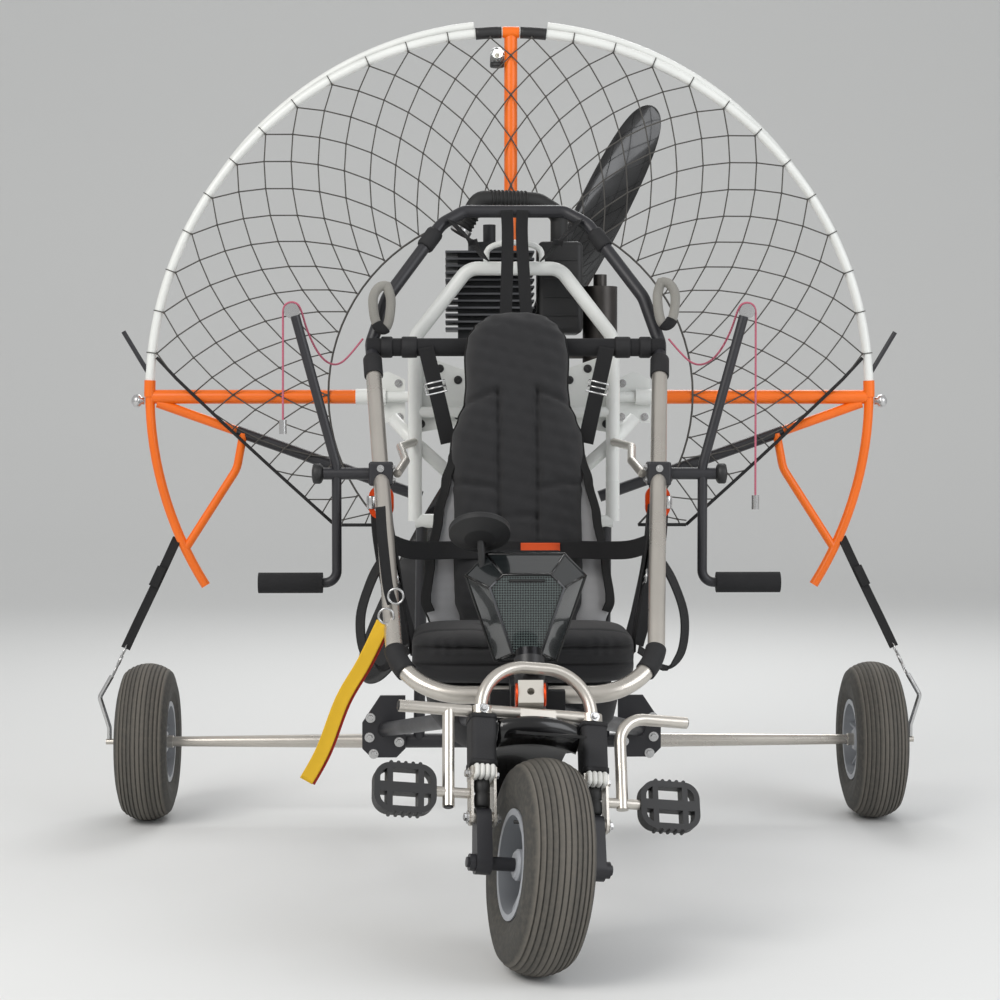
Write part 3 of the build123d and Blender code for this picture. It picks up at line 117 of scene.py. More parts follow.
lens_data = bpy.data.cameras.new("camera")
lens_data.sensor_width = SENSOR_MM
lens_data.lens = SENSOR_MM * FOCAL_PX / FRAME_PX
lens_data.clip_end = FAR_CLIP
camera = add_object("camera", lens_data)
camera.location = at(*CAMERA_AT)
camera.rotation_euler = (math.pi / 2 - CAMERA_PITCH, 0, -CAMERA_YAW)
bpy.context.scene.camera = camera
bpy.context.scene.view_settings.view_transform = "Standard"

floor_finish, floor_tree, floor_shader = material_with("studio_floor", roughness=0.85)
floor_noise = add_node(floor_tree, "ShaderNodeTexNoise", {"Scale": 3.0})
floor_mix = add_node(floor_tree, "ShaderNodeMixRGB", {
    "Fac": floor_noise.outputs["Fac"], "Color1": rgb("DFE0E0"), "Color2": rgb("E4E5E4")})
floor_tree.links.new(floor_mix.outputs["Color"], floor_shader.inputs["Base Color"])
floor_line = [(-FLOOR_HALF, 0), (FLOOR_BACK, 0)]
for step in range(1, COVE_STEPS + 1):
    turn = math.pi / 2 * step / COVE_STEPS
    floor_line.append((FLOOR_BACK + COVE_R * math.sin(turn), COVE_R * (1 - math.cos(turn))))
floor_line.append((FLOOR_BACK + COVE_R, WALL_H))
floor_points = [at(x, y, z) for y, z in floor_line for x in (-FLOOR_HALF, FLOOR_HALF)]
floor_faces = [(2 * i, 2 * i + 1, 2 * i + 3, 2 * i + 2) for i in range(len(floor_line) - 1)]
floor_mesh = bpy.data.meshes.new("floor")
floor_mesh.from_pydata(floor_points, [], floor_faces)
floor_mesh.shade_smooth()
add_object("floor", floor_mesh, finish=floor_finish)

world = bpy.data.worlds.new("studio")
world.use_nodes = True
bpy.context.scene.world = world
sky = world.node_tree.nodes["Background"]
sky.inputs["Color"].default_value = (1, 1, 1, 1)
sky.inputs["Strength"].default_value = SKY_STRENGTH
for panel_name, place, size, power, colour in PANELS:
    panel_data = bpy.data.lights.new(panel_name, "AREA")
    panel_data.size = size
    panel_data.energy = power
    panel_data.color = colour
    panel = add_object(panel_name, panel_data)
    panel.location = at(*place)
    panel.rotation_euler = (at(*PANEL_AIM) - panel.location).to_track_quat("-Z", "Y").to_euler()

# Surface grain: every coat, moulding, casting and rubber here has a colour that drifts a little,
# with a fine grain in its roughness and bump.
PATCH_SPAN = (0.3, 0.7)
ROUGH_SHIFT = 0.06


def group_of(name, inputs, outputs):
    """An empty shader node group with named sockets, as (tree, inputs, outputs)."""
    tree = bpy.data.node_groups.new(name, "ShaderNodeTree")
    for key, kind, value in inputs:
        socket = tree.interface.new_socket(key, in_out="INPUT", socket_type="NodeSocket" + kind)
        socket.default_value = value
    for key, kind in outputs:
        tree.interface.new_socket(key, in_out="OUTPUT", socket_type="NodeSocket" + kind)
    return tree, tree.nodes.new("NodeGroupInput"), tree.nodes.new("NodeGroupOutput")


def object_place(tree):
    """The place on the object, for a texture to follow."""
    return add_node(tree, "ShaderNodeTexCoord").outputs["Object"]


def math_node(tree, operation, *values):
    """The result of a math operation on values or sockets."""
    return add_node(tree, "ShaderNodeMath", dict(enumerate(values)), operation=operation).outputs[0]


def map_range(tree, value, span, target):
    """A value carried from one span to another."""
    return add_node(tree, "ShaderNodeMapRange", {
        "Value": value, "From Min": span[0], "From Max": span[1], "To Min": target[0],
        "To Max": target[1]}).outputs["Result"]


def drifting(tree, sockets, value, span):
    """A group's colour, darker and lighter by its drift as a value goes over a span."""
    low = math_node(tree, "SUBTRACT", 1.0, sockets.outputs["Drift"])
    high = math_node(tree, "ADD", 1.0, sockets.outputs["Drift"])
    shade = map_range(tree, value, span, (low, high))
    return add_node(tree, "ShaderNodeHueSaturation", {
        "Color": sockets.outputs["Color"], "Value": shade}).outputs["Color"]


def finished(name, group, values, sockets):
    """A material fed by a shared group; returns it with its tree and shader."""
    made, tree, shader = material_with(name, **sockets)
    effect = add_node(tree, "ShaderNodeGroup", values, node_tree=group)
    for key, target in (("Color", "Base Color"), ("Roughness", "Roughness"), ("Normal", "Normal")):
        if key in effect.outputs:
            tree.links.new(effect.outputs[key], shader.inputs[target])
    return made, tree, shader


grain_tree, grain_in, grain_out = group_of(
    "surface_grain",
    (("Color", "Color", (0.5, 0.5, 0.5, 1)), ("Drift", "Float", 0.1), ("Patch", "Float", 9.0),
     ("Grain", "Float", 700.0), ("Depth", "Float", 0.1), ("Roughness", "Float", 0.5)),
    (("Color", "Color"), ("Roughness", "Float"), ("Normal", "Vector")))
grain_place = object_place(grain_tree)
patches = add_node(grain_tree, "ShaderNodeTexNoise", {
    "Vector": grain_place, "Scale": grain_in.outputs["Patch"], "Detail": 4.0}).outputs["Fac"]
specks = add_node(grain_tree, "ShaderNodeTexNoise", {
    "Vector": grain_place, "Scale": grain_in.outputs["Grain"], "Detail": 2.0}).outputs["Fac"]
rough_map = map_range(grain_tree, patches, PATCH_SPAN, (-ROUGH_SHIFT, ROUGH_SHIFT))
rough_sum = math_node(grain_tree, "ADD", rough_map, grain_in.outputs["Roughness"])
grain_bump = add_node(grain_tree, "ShaderNodeBump", {
    "Height": specks, "Strength": grain_in.outputs["Depth"], "Distance": 0.001})
grain_tree.links.new(drifting(grain_tree, grain_in, patches, PATCH_SPAN), grain_out.inputs["Color"])
grain_tree.links.new(rough_sum, grain_out.inputs["Roughness"])
grain_tree.links.new(grain_bump.outputs["Normal"], grain_out.inputs["Normal"])


def grained(name, colour, roughness, drift=0.08, patch=9.0, grain=700.0, depth=0.12, **sockets):
    """A material of one colour with the shared grain; returns it with its tree and shader."""
    values = {"Color": rgb(colour), "Drift": drift, "Patch": patch, "Grain": grain, "Depth": depth,
              "Roughness": roughness}
    return finished(name, grain_tree, values, sockets)


def repaint(tree, shader, mask, colour):
    """Lay a colour over a shader's own colour by a mask."""
    base = shader.inputs["Base Color"]
    mixed = add_node(tree, "ShaderNodeMixRGB", {
        "Fac": mask, "Color1": base.links[0].from_socket, "Color2": rgb(colour)})
    tree.links.new(mixed.outputs["Color"], base)


# Wheels: balloon tyres of dusty black rubber with fine running grooves, on moulded grey rims
# that turn on plain bores. A short valve stem stands in each rim.
TYRE_R = 0.165
CROWN_R = 0.07
TREAD_HALF_W = 0.047
TYRE_HALF_W = 0.0525
BEAD_R = 0.082
BEAD_HALF_W = 0.042
GROOVES = (-0.039, -0.031, -0.0225, -0.014, -0.0045, 0.0045, 0.014, 0.0225, 0.031, 0.039)
GROOVE_HALF_W = 0.0013
GROOVE_DEPTH = 0.0022
WALL_STEPS = 16
WALL_RIBS = (5, 10)
VALVE_R = 0.068
VALVE_TURN = math.radians(36)
SPOKES = 5
SPOKE_HALF_T = 0.0068
# Ribs on the spokes: radius, reach from the wheel's middle
RIB_ENDS = ((0.027, 0.021), (0.0742, 0.034))
RIB_HALF_W = 0.0055
RIB_EDGE_R = 0.0015
WALL_RIB_H = 0.0012
# Rubbed grey of the tread: where it ends, its share, and its waves across
WEAR_HALF_W = TREAD_HALF_W - 0.001
WEAR = 0.55
WEAR_WAVE = 150
VALVE_X = 0.028
VALVE = ((-0.012, 0.0001), (-0.012, 0.0045), (0.006, 0.0045), (0.008, 0.003), (0.022, 0.003), (0.022, 0.0001))
# Wheels: joint, body, tyre, and the side that the valve is on
WHEELS = (("rear_left_spin", "rear_wheel_left", "rear_tyre_left", -1),
          ("rear_right_spin", "rear_wheel_right", "rear_tyre_right", 1),
          ("front_wheel_spin", "front_wheel", "front_tyre", -1))


def dress(finish, *names):
    """Give carried-over nodes their finish."""
    for name in names:
        for holder in nodes[name].material_slots:
            holder.material = finish


def mesh_of(name, points, faces, smooth=True):
    """A mesh from points and faces, with its normals turned outwards."""
    made = bpy.data.meshes.new(name)
    made.from_pydata(points, [], faces)
    shell = bmesh.new()
    shell.from_mesh(made)
    bmesh.ops.recalc_face_normals(shell, faces=shell.faces)
    shell.to_mesh(made)
    shell.free()
    if smooth:
        made.shade_smooth()
    return made


def turns(count):
    """Angles of a full turn in even steps."""
    return [2 * math.pi * k / count for k in range(count)]


def lathe(name, profile, place, steps):
    """A closed profile of (along, radius) turned about the X axis of a placing matrix."""
    points = []
    for turn in turns(steps):
        points += [place @ Vector((x, r * math.cos(turn), r * math.sin(turn))) for x, r in profile]
    count = len(profile)
    faces = []
    for index in range(steps):
        here = index * count
        there = (index + 1) % steps * count
        for j in range(count):
            k = (j + 1) % count
            faces.append((here + j, here + k, there + k, there + j))
    return mesh_of(name, points, faces)


def turned(name, profile, place, steps, body, finish, replaces=(), way=1):
    """A turned piece; way -1 turns its profile to the other side."""
    made = lathe(name, [(x * way, r) for x, r in profile], place, steps)
    return add_object(name, made, body, finish, replaces)


def axis_place(origin, axis, up=(0, 0, 1)):
    """A placing matrix at a point, its X axis along a direction."""
    x = Vector(axis).normalized()
    y = Vector(up).cross(x).normalized()
    turn = Matrix((x, y, x.cross(y))).transposed().to_4x4()
    return Matrix.Translation(origin) @ turn


rubber, rubber_tree, rubber_shader = grained(
    "dusty_tyre", "3F3E3B", 0.8, drift=0.06, patch=60.0, grain=380.0, depth=0.3)
dust = add_node(rubber_tree, "ShaderNodeTexNoise", {
    "Vector": object_place(rubber_tree), "Scale": 120.0, "Detail": 8.0}).outputs["Fac"]
repaint(rubber_tree, rubber_shader, map_range(rubber_tree, dust, (0.42, 0.75), (0.0, 0.35)), "6B655C")
wear_mark = add_node(rubber_tree, "ShaderNodeAttribute", attribute_name="wear").outputs["Fac"]
repaint(rubber_tree, rubber_shader, wear_mark, "77726A")
black_rubber = grained("black_rubber", "1F1F1F", 0.62, grain=500.0, depth=0.2)[0]
rim_plastic = grained("grey_rim", "9A9DA2", 0.42, drift=0.06, grain=600.0, depth=0.15)[0]
dress(rim_plastic, "rear_rim_left", "rear_rim_right", "front_rim")
dress(grained("disc_steel", "55565A", 0.35, grain=900.0, metallic=0.9)[0], "brake_disc")


def crown_r(x):
    """Radius of the tread at a distance from the tyre's middle."""
    return TYRE_R - CROWN_R + math.sqrt(CROWN_R**2 - x**2)


def tyre_profile():
    """Closed outline of the tyre: grooved tread, ribbed walls and beads."""
    tread = [(-TREAD_HALF_W, crown_r(TREAD_HALF_W))]
    for middle in GROOVES:
        low = crown_r(middle) - GROOVE_DEPTH
        tread.append((middle - 2 * GROOVE_HALF_W, crown_r(middle - 2 * GROOVE_HALF_W)))
        tread.append((middle - GROOVE_HALF_W, crown_r(middle)))
        tread.append((middle - GROOVE_HALF_W * 0.7, low))
        tread.append((middle + GROOVE_HALF_W * 0.7, low))
        tread.append((middle + GROOVE_HALF_W, crown_r(middle)))
    tread.append((TREAD_HALF_W, crown_r(TREAD_HALF_W)))
    shoulder = crown_r(TREAD_HALF_W)
    belly = (shoulder + BEAD_R) / 2
    wall = []
    for step in range(1, WALL_STEPS + 1):
        t = step / WALL_STEPS
        a, b, c = (1 - t) * (1 - 2 * t), 4 * t * (1 - t), t * (2 * t - 1)
        rib = WALL_RIB_H if step in WALL_RIBS else 0
        wall.append((a * TREAD_HALF_W + b * TYRE_HALF_W + c * BEAD_HALF_W + rib,
                     a * shoulder + b * belly + c * BEAD_R))
    return tread + wall + [(-x, r) for x, r in reversed(wall)]


for joint_name, body, tyre_node, outside in WHEELS:
    upright = joints["steer"]["axis"] if body == "front_wheel" else (0, 0, 1)
    hub = axis_place(Vector(joints[joint_name]["pos_m"]), joints[joint_name]["axis"], upright)
    tyre = turned("tread_" + tyre_node, tyre_profile(), hub, 96, body, rubber, (tyre_node,))
    wear = tyre.data.attributes.new("wear", "FLOAT", "POINT")
    for vertex, mark in zip(tyre.data.vertices, wear.data):
        spot = hub.inverted() @ vertex.co
        if abs(spot.x) < WEAR_HALF_W:
            sunk = crown_r(spot.x) - math.hypot(spot.y, spot.z)
            mark.value = WEAR * max(1 - sunk / GROOVE_DEPTH, 0) * (0.75 + 0.25 * math.cos(spot.x * WEAR_WAVE))
    rib_points = []
    rib_faces = []
    for index in range(2 * SPOKES):
        face = 1 if index < SPOKES else -1
        turn = hub @ Matrix.Rotation(2 * math.pi * index / SPOKES, 4, "X")
        first = len(rib_points)
        for radius, reach in RIB_ENDS:
            for x, y in ((SPOKE_HALF_T, -1), (SPOKE_HALF_T, 1), (reach, 0.6), (reach, -0.6)):
                rib_points.append(turn @ Vector((face * x, face * y * RIB_HALF_W, radius)))
        for k in range(4):
            rib_faces.append((first + k, first + (k + 1) % 4, first + 4 + (k + 1) % 4, first + 4 + k))
        rib_faces.append((first + 3, first + 2, first + 1, first))
        rib_faces.append((first + 4, first + 5, first + 6, first + 7))
    rib_mesh = mesh_of("ribs_" + tyre_node, rib_points, rib_faces, False)
    ribs = add_object("ribs_" + tyre_node, rib_mesh, body, rim_plastic)
    rounding = ribs.modifiers.new("round", "BEVEL")
    rounding.width = RIB_EDGE_R
    rounding.segments = 2
    valve_at = hub @ Matrix.Rotation(VALVE_TURN, 4, "X") @ Matrix.Translation((VALVE_X * outside, 0, VALVE_R))
    turned("valve_" + tyre_node, VALVE, valve_at, 16, body, black_rubber, way=outside)

# Rear axle and lower frame: tapered silver axle tubes clamped in black side plates, two black
# rails to the steering head, and the long silver ring bent round the pilot, all bolted together.
PLATE_FACE_Y = -0.0242
PLATE_BOLTS = ((0.2975, 0.2175), (0.237, 0.166), (0.2995, 0.176), (0.291, 0.141))
RING_FOOT = (0.216, -0.928, 0.386)
RING_TOP = (0.278, -0.350, 0.951)
RING_R = 0.015
# Cloth wraps on the ring: share of its length from the top, length of the wrap
RING_WRAPS = ((0.01, 0.05),)
WRAP_T = 0.003
WRAP_GAP = 0.0004


def hex_bolt(shell, place, across, height):
    """A hexagon bolt head with a washer, its X axis out of the surface."""
    washer_h = height * 0.25
    for radius, low, high, sides in ((across * 0.95, 0, washer_h, 20), (across * 0.58, washer_h, height, 6)):
        rings = []
        for x, r in ((low, radius), (high * 0.92 + low * 0.08, radius), (high, radius * 0.88)):
            rings.append([shell.verts.new(place @ Vector((x, r * math.cos(turn), r * math.sin(turn))))
                          for turn in turns(sides)])
        for below, above in zip(rings, rings[1:]):
            for k in range(sides):
                shell.faces.new((below[k], below[(k + 1) % sides], above[(k + 1) % sides], above[k]))
        shell.faces.new(list(reversed(rings[0])))
        shell.faces.new(rings[-1])


def bolts(name, body, rows):
    """One piece with all the bolt heads of a body; rows are (point, direction, across, height)."""
    shell = bmesh.new()
    for origin, direction, across, height in rows:
        up = (0, 0, 1) if abs(Vector(direction).normalized().z) < 0.9 else (0, 1, 0)
        hex_bolt(shell, axis_place(origin, direction, up), across, height)
    made = bpy.data.meshes.new(name)
    shell.to_mesh(made)
    shell.free()
    return add_object(name, made, body, bolt_steel)


black_coat = grained("black_powder_coat", "26262A", 0.42, grain=900.0, depth=0.2)[0]
silver = grained("satin_aluminium", "CBC6BE", 0.3, drift=0.04, grain=1400.0, depth=0.04, metallic=0.8)[0]
bolt_steel = grained("zinc_plate", "C4C4C4", 0.25, grain=1200.0, depth=0.05, metallic=0.9)[0]
webbing = grained("black_webbing", "1D1D1F", 0.75, drift=0.15, patch=60.0, grain=420.0, depth=0.5)[0]
dress(silver, "rear_axles", "ring_frame", "hang_arms")
dress(black_coat, "side_plates", "axle_beam", "keel_rails", "roll_bar")
dress(bolt_steel, "axle_hooks")
bolts("frame_bolts", "chassis",
      [(at(side * x, PLATE_FACE_Y, z), (0, -1, 0), 0.011, 0.008) for side in (-1, 1) for x, z in PLATE_BOLTS])


def wrap_profile(radius, length, thick):
    """Outline of a sleeve round a tube, with soft ends."""
    half = length / 2
    return [(-half, radius), (half, radius), (half, radius + thick * 0.6), (half - thick, radius + thick),
            (thick - half, radius + thick), (-half, radius + thick * 0.6)]


for side in (-1, 1):
    low = at(side * RING_FOOT[0], *RING_FOOT[1:])
    high = at(side * RING_TOP[0], *RING_TOP[1:])
    for index, (share, length) in enumerate(RING_WRAPS):
        spot = axis_place(high.lerp(low, share), low - high, (1, 0, 0))
        turned("ring_wrap_%d_%d" % (side, index), wrap_profile(RING_R + WRAP_GAP, length, WRAP_T), spot, 32,
               "chassis", webbing)

# Steering head: a black coated tube on the ring's foot whose bare silver nose has a tow hole,
# between two orange anodised washers.
HEAD_AT = Vector(joints["steer"]["pos_m"])
STEER_AXIS = Vector(joints["steer"]["axis"])
NOSE_HALF_W = 0.020
NOSE_Z = -0.022
NOSE_MID_Y = -0.034
WASHER_R = 0.019
WASHER_T = 0.004
WASHER_GAP = 0.0003
WASHER = ((0, 0.0001), (0, WASHER_R), (WASHER_T * 0.7, WASHER_R), (WASHER_T, WASHER_R - 0.0015),
          (WASHER_T, 0.0001))
HEAD_SLOPE = STEER_AXIS.y / STEER_AXIS.z
NOSE_START = 0.029

head_finish, head_tree, head_shader = grained("coated_head", "1E1E20", 0.42, grain=900.0, depth=0.1)
head_spot = add_node(head_tree, "ShaderNodeSeparateXYZ", {"Vector": object_place(head_tree)})
head_lean = math_node(head_tree, "MULTIPLY_ADD", head_spot.outputs["Z"], -HEAD_SLOPE,
                      HEAD_AT.z * HEAD_SLOPE - HEAD_AT.y)
head_reach = math_node(head_tree, "ADD", head_lean, head_spot.outputs["Y"])
nose_mask = math_node(head_tree, "LESS_THAN", head_reach, -NOSE_START)
repaint(head_tree, head_shader, nose_mask, "C4C0B8")
dress(head_finish, "steering_head")
orange_metal = grained("orange_anodised", "E04A12", 0.28, drift=0.05, grain=1100.0, depth=0.05,
                       metallic=0.6)[0]
head_frame = Matrix.Translation(HEAD_AT) @ Matrix(
    ((1, 0, 0), STEER_AXIS.cross(Vector((1, 0, 0))), STEER_AXIS)).transposed().to_4x4()
for side in (-1, 1):
    spot = head_frame @ Matrix.Translation((side * (NOSE_HALF_W + WASHER_GAP), NOSE_MID_Y, NOSE_Z))
    turned("head_washer_%d" % side, WASHER, spot, 40, "chassis", orange_metal, way=side)

# Fork: a silver arch clamped in the crown, cloth-wrapped legs, silver links round rubber springs
# and dark arms down to the front axle, with foot bars and toothed pedals outboard.
FORK_OFFSET = 0.040
FORK_HALF_W = 0.090
SLEEVE_HALF_W = 0.020
SLEEVE_HALF_D = 0.022
SLEEVE_TOP = -0.0666
SLEEVE_LOW = -0.1536
CROWN_Z = -0.0593
CROWN_FACE = 0.0172
BAND_Z = -0.1619
PIN_Z = -0.2316
SPRING_TOP = -0.1706
SPRING_LOW = -0.2158
CAP_Z = 0.44
SPRING_R = 0.0125
# Hems of the leg cloth: half sizes round the leg, height, thickness and place from the cloth's ends
HEM_HALF_W = SLEEVE_HALF_W - 0.0005
HEM_HALF_D = SLEEVE_HALF_D - 0.0005
HEM_HALF_H = 0.0035
HEM_T = 0.0018
HEM_INSET = 0.006
HEM_POWER = 0.28
HEM_SIDES = 32

wheel_axis = Vector(joints["front_wheel_spin"]["axis"])
fork_frame = Matrix.Translation(HEAD_AT) @ Matrix(
    (wheel_axis, STEER_AXIS.cross(wheel_axis), STEER_AXIS)).transposed().to_4x4()
leg_cloth = grained("leg_cloth", "29292B", 0.8, drift=0.12, patch=40.0, grain=520.0, depth=0.5)[0]
gloss_black = grained("gloss_black", "0B0B0C", 0.22, drift=0.1, grain=300.0, depth=0.03, coat_weight=0.3)[0]
black_plastic = grained("moulded_black", "222223", 0.5, grain=1200.0, depth=0.25)[0]
crown_finish, crown_tree, crown_shader = grained(
    "capped_crown", "CBC6BE", 0.3, grain=900.0, depth=0.1, metallic=0.8)
crown_spot = add_node(crown_tree, "ShaderNodeSeparateXYZ", {"Vector": object_place(crown_tree)})
cap_mask = math_node(crown_tree, "GREATER_THAN", crown_spot.outputs["Z"], CAP_Z)
repaint(crown_tree, crown_shader, cap_mask, "1E1E20")
dress(crown_finish, "fork_crown")
dress(silver, "fork_arch", "fork_links", "foot_bars")
dress(leg_cloth, "fork_sleeves")
dress(black_coat, "fork_arms", "front_axle")
dress(gloss_black, "mudguard")
dress(black_plastic, "pedals")


def spring_profile():
    """Two rubber buffers with a steel washer between, from the top down."""
    half = (SPRING_TOP - SPRING_LOW) / 2
    line = [(0, 0.0001)]
    for start in (0, half):
        for share, bulge in ((0.0, 0.82), (0.12, 0.96), (0.5, 1.0), (0.88, 0.96), (0.98, 0.82)):
            line.append((start + half * share, SPRING_R * bulge))
    line.append((2 * half, 0.0001))
    return line


def rounded(turn, power):
    """A point of a rounded square of half width 1; a lower power has tighter corners."""
    return [math.copysign(abs(v)**power, v) for v in (math.cos(turn), math.sin(turn))]


fork_bolts = []
for side in (-1, 1):
    top = fork_frame @ Vector((side * FORK_HALF_W, -FORK_OFFSET, SPRING_TOP))
    turned("leg_spring_%d" % side, spring_profile(), axis_place(top, -STEER_AXIS, wheel_axis), 32, "steering",
           black_rubber)
    for x, z, across in ((SLEEVE_HALF_W, BAND_Z, 0.010), (SLEEVE_HALF_W + 0.002, PIN_Z, 0.011)):
        for out in (-1, 1):
            spot = fork_frame @ Vector((side * FORK_HALF_W + out * x, -FORK_OFFSET, z))
            fork_bolts.append((spot, wheel_axis * out, across, 0.007))
    spot = fork_frame @ Vector((side * FORK_HALF_W, -FORK_OFFSET - CROWN_FACE, CROWN_Z))
    fork_bolts.append((spot, fork_frame.to_3x3() @ Vector((0, -1, 0)), 0.008, 0.006))
    for z in (SLEEVE_TOP - HEM_INSET, SLEEVE_LOW + HEM_INSET):
        corners = []
        for dz in (-HEM_HALF_H, HEM_HALF_H):
            for turn in turns(HEM_SIDES):
                x, y = rounded(turn, HEM_POWER)
                for grow in (0, HEM_T):
                    scale = 1 + grow / SLEEVE_HALF_W
                    corners.append(fork_frame @ Vector((side * FORK_HALF_W + x * HEM_HALF_W * scale,
                                                        y * HEM_HALF_D * scale - FORK_OFFSET, z + dz)))
        faces = []
        rise = 2 * HEM_SIDES
        for index in range(HEM_SIDES):
            here, there = 2 * index, 2 * ((index + 1) % HEM_SIDES)
            faces.append((here + 1, there + 1, there + rise + 1, here + rise + 1))
            faces.append((here, here + 1, here + rise + 1, here + rise))
            faces.append((here, there, there + 1, here + 1))
            faces.append((here + rise, here + rise + 1, there + rise + 1, there + rise))
        hem = mesh_of("leg_hem", corners, faces)
        add_object("leg_hem_%d_%d" % (side, round(z * -1000)), hem, "steering", webbing)
bolts("fork_bolts", "steering", fork_bolts)

# Fork trim: white rubber bands round each leg's foot, a gloss lip in front of the mudguard and black
# discs in the open ends of the foot bars, painted shade for the dark inside of the tubes.
BAND_OFFSETS = (-0.0125, -0.0042, 0.0042, 0.0125)
BAND_HALF_D = 0.0235
BAND_HALF_H = 0.0085
BAND_R = 0.0040
BAND_POWER = 0.35
BAND_STEPS = 24
LIP_HALF_W = 0.066
# Mudguard lip, from its rolled edge down: distance along y, height
LIP = ((-0.056, -0.0675), (-0.066, -0.0690), (-0.071, -0.0760), (-0.069, -0.0880), (-0.060, -0.1000),
       (-0.046, -0.1080))
LIP_T = 0.003
LIP_BOW = 0.016
LIP_COLUMNS = 20
# Foot bar ends: x, z and the direction out of the tube
BAR_ENDS = ((-0.222, -0.0593, (-1, 0, 0)), (0.249, -0.052, (1, 0, 0)), (-0.143, -0.217, (0, 0, -1)))
BAR_END_SHADE = ((-0.004, 0.0001), (-0.004, 0.0072), (0.0012, 0.0078), (0.0022, 0.0060), (0.0022, 0.0001))


def add_tube(shell, points, radius, sides=6, closed=False):
    """Add a tube along points to a shell; its section turns as little as it can."""
    count = len(points)
    normal = None
    rings = []
    for index, point in enumerate(points):
        before = points[index - 1] if index or closed else point
        after = points[(index + 1) % count] if index < count - 1 or closed else point
        along = (after - before).normalized()
        if normal is None:
            normal = along.orthogonal()
        normal = (normal - along * normal.dot(along)).normalized()
        other = along.cross(normal)
        rings.append([shell.verts.new(point + (normal * math.cos(turn) + other * math.sin(turn)) * radius)
                      for turn in turns(sides)])
    pairs = list(zip(rings, rings[1:])) + ([(rings[-1], rings[0])] if closed else [])
    for first, last in pairs:
        for k in range(sides):
            shell.faces.new((first[k], first[(k + 1) % sides], last[(k + 1) % sides], last[k]))
    if not closed:
        shell.faces.new(list(reversed(rings[0])))
        shell.faces.new(rings[-1])


def shell_object(name, shell, body, finish, replaces=()):
    """Turn a bmesh into a piece of the model."""
    bmesh.ops.recalc_face_normals(shell, faces=shell.faces)
    made = bpy.data.meshes.new(name)
    shell.to_mesh(made)
    shell.free()
    made.shade_smooth()
    return add_object(name, made, body, finish, replaces)


def sheet_faces(columns, rows):
    """Faces of a sheet of two skins and a border, its points row by row, one skin after the other."""
    wide = columns + 1
    flat = wide * (rows + 1)
    faces = []
    for row in range(rows):
        for column in range(columns):
            a = row * wide + column
            face = (a, a + 1, a + wide + 1, a + wide)
            faces.append(face)
            faces.append(tuple(flat + v for v in reversed(face)))
    border = list(range(columns)) + [row * wide + columns for row in range(rows)]
    border += [flat - 1 - column for column in range(columns)]
    border += [(rows - row) * wide for row in range(rows)]
    for a, b in zip(border, border[1:] + border[:1]):
        faces.append((a, b, flat + b, flat + a))
    return faces


white_rubber = grained("white_bands", "DCDCD8", 0.55, drift=0.08, patch=50.0, grain=500.0, depth=0.2)[0]
for side in (-1, 1):
    band_shell = bmesh.new()
    for offset in BAND_OFFSETS:
        loop = []
        for turn in turns(BAND_STEPS):
            y, z = rounded(turn, BAND_POWER)
            loop.append(fork_frame @ Vector((side * FORK_HALF_W + offset, y * BAND_HALF_D - FORK_OFFSET,
                                             BAND_Z + z * BAND_HALF_H)))
        add_tube(band_shell, loop, BAND_R, 8, closed=True)
    shell_object("leg_bands_%d" % side, band_shell, "steering", white_rubber)
lip_points = []
for inset in (0, LIP_T):
    for y, z in LIP:
        for k in range(LIP_COLUMNS + 1):
            x = LIP_HALF_W * (2 * k / LIP_COLUMNS - 1)
            bow = LIP_BOW * (x / LIP_HALF_W)**2
            lip_points.append(fork_frame @ Vector((x, y + bow + inset, z - inset * 0.5 - bow * 0.3)))
lip_mesh = mesh_of("mudguard_lip", lip_points, sheet_faces(LIP_COLUMNS, len(LIP) - 1))
add_object("mudguard_lip", lip_mesh, "steering", gloss_black)
# The black discs in the bar ends are painted shade for the dark inside of the open tubes.
for index, (x, z, out) in enumerate(BAR_ENDS):
    up = wheel_axis if out[2] else STEER_AXIS
    spot = axis_place(fork_frame @ Vector((x, -FORK_OFFSET, z)), fork_frame.to_3x3() @ Vector(out), up)
    turned("bar_end_shade_%d" % index, BAR_END_SHADE, spot, 20, "steering", black_plastic)

# Roll bar and cross bar: a bent black tube over the pilot's head, standing in the ends of the
# ring, with a foam-covered bar across its feet. Webbing is wound round the bar's ends.
CROSS_Y = -0.318
CROSS_Z = 0.986
CROSS_R = 0.0175
# Wraps on the cross bar: distance from the middle, length
BAR_WRAPS = ((0.208, 0.03), (0.252, 0.022))
ROLL_R = 0.0125
ROLL_SHOULDER = (0.145, -0.220, 1.235)
ROLL_SIDE = (0.252, -0.285, 1.085)
ROLL_WRAP_SHARE = 0.22
ROLL_WRAP_L = 0.042
ROLL_WRAP_T = 0.0045
# The ring frame's lower bend: its radius, and the turns in degrees between which a strap is wound
RING_BEND = 0.120
BEND_WRAP = (6, 32)
BEND_STEPS = 8


def tubes(name, lines, radius, body, finish, sides=8, closed=False, replaces=()):
    """One piece made of tubes along several lines of points."""
    shell = bmesh.new()
    for line in lines:
        add_tube(shell, line, radius, sides, closed)
    return shell_object(name, shell, body, finish, replaces)


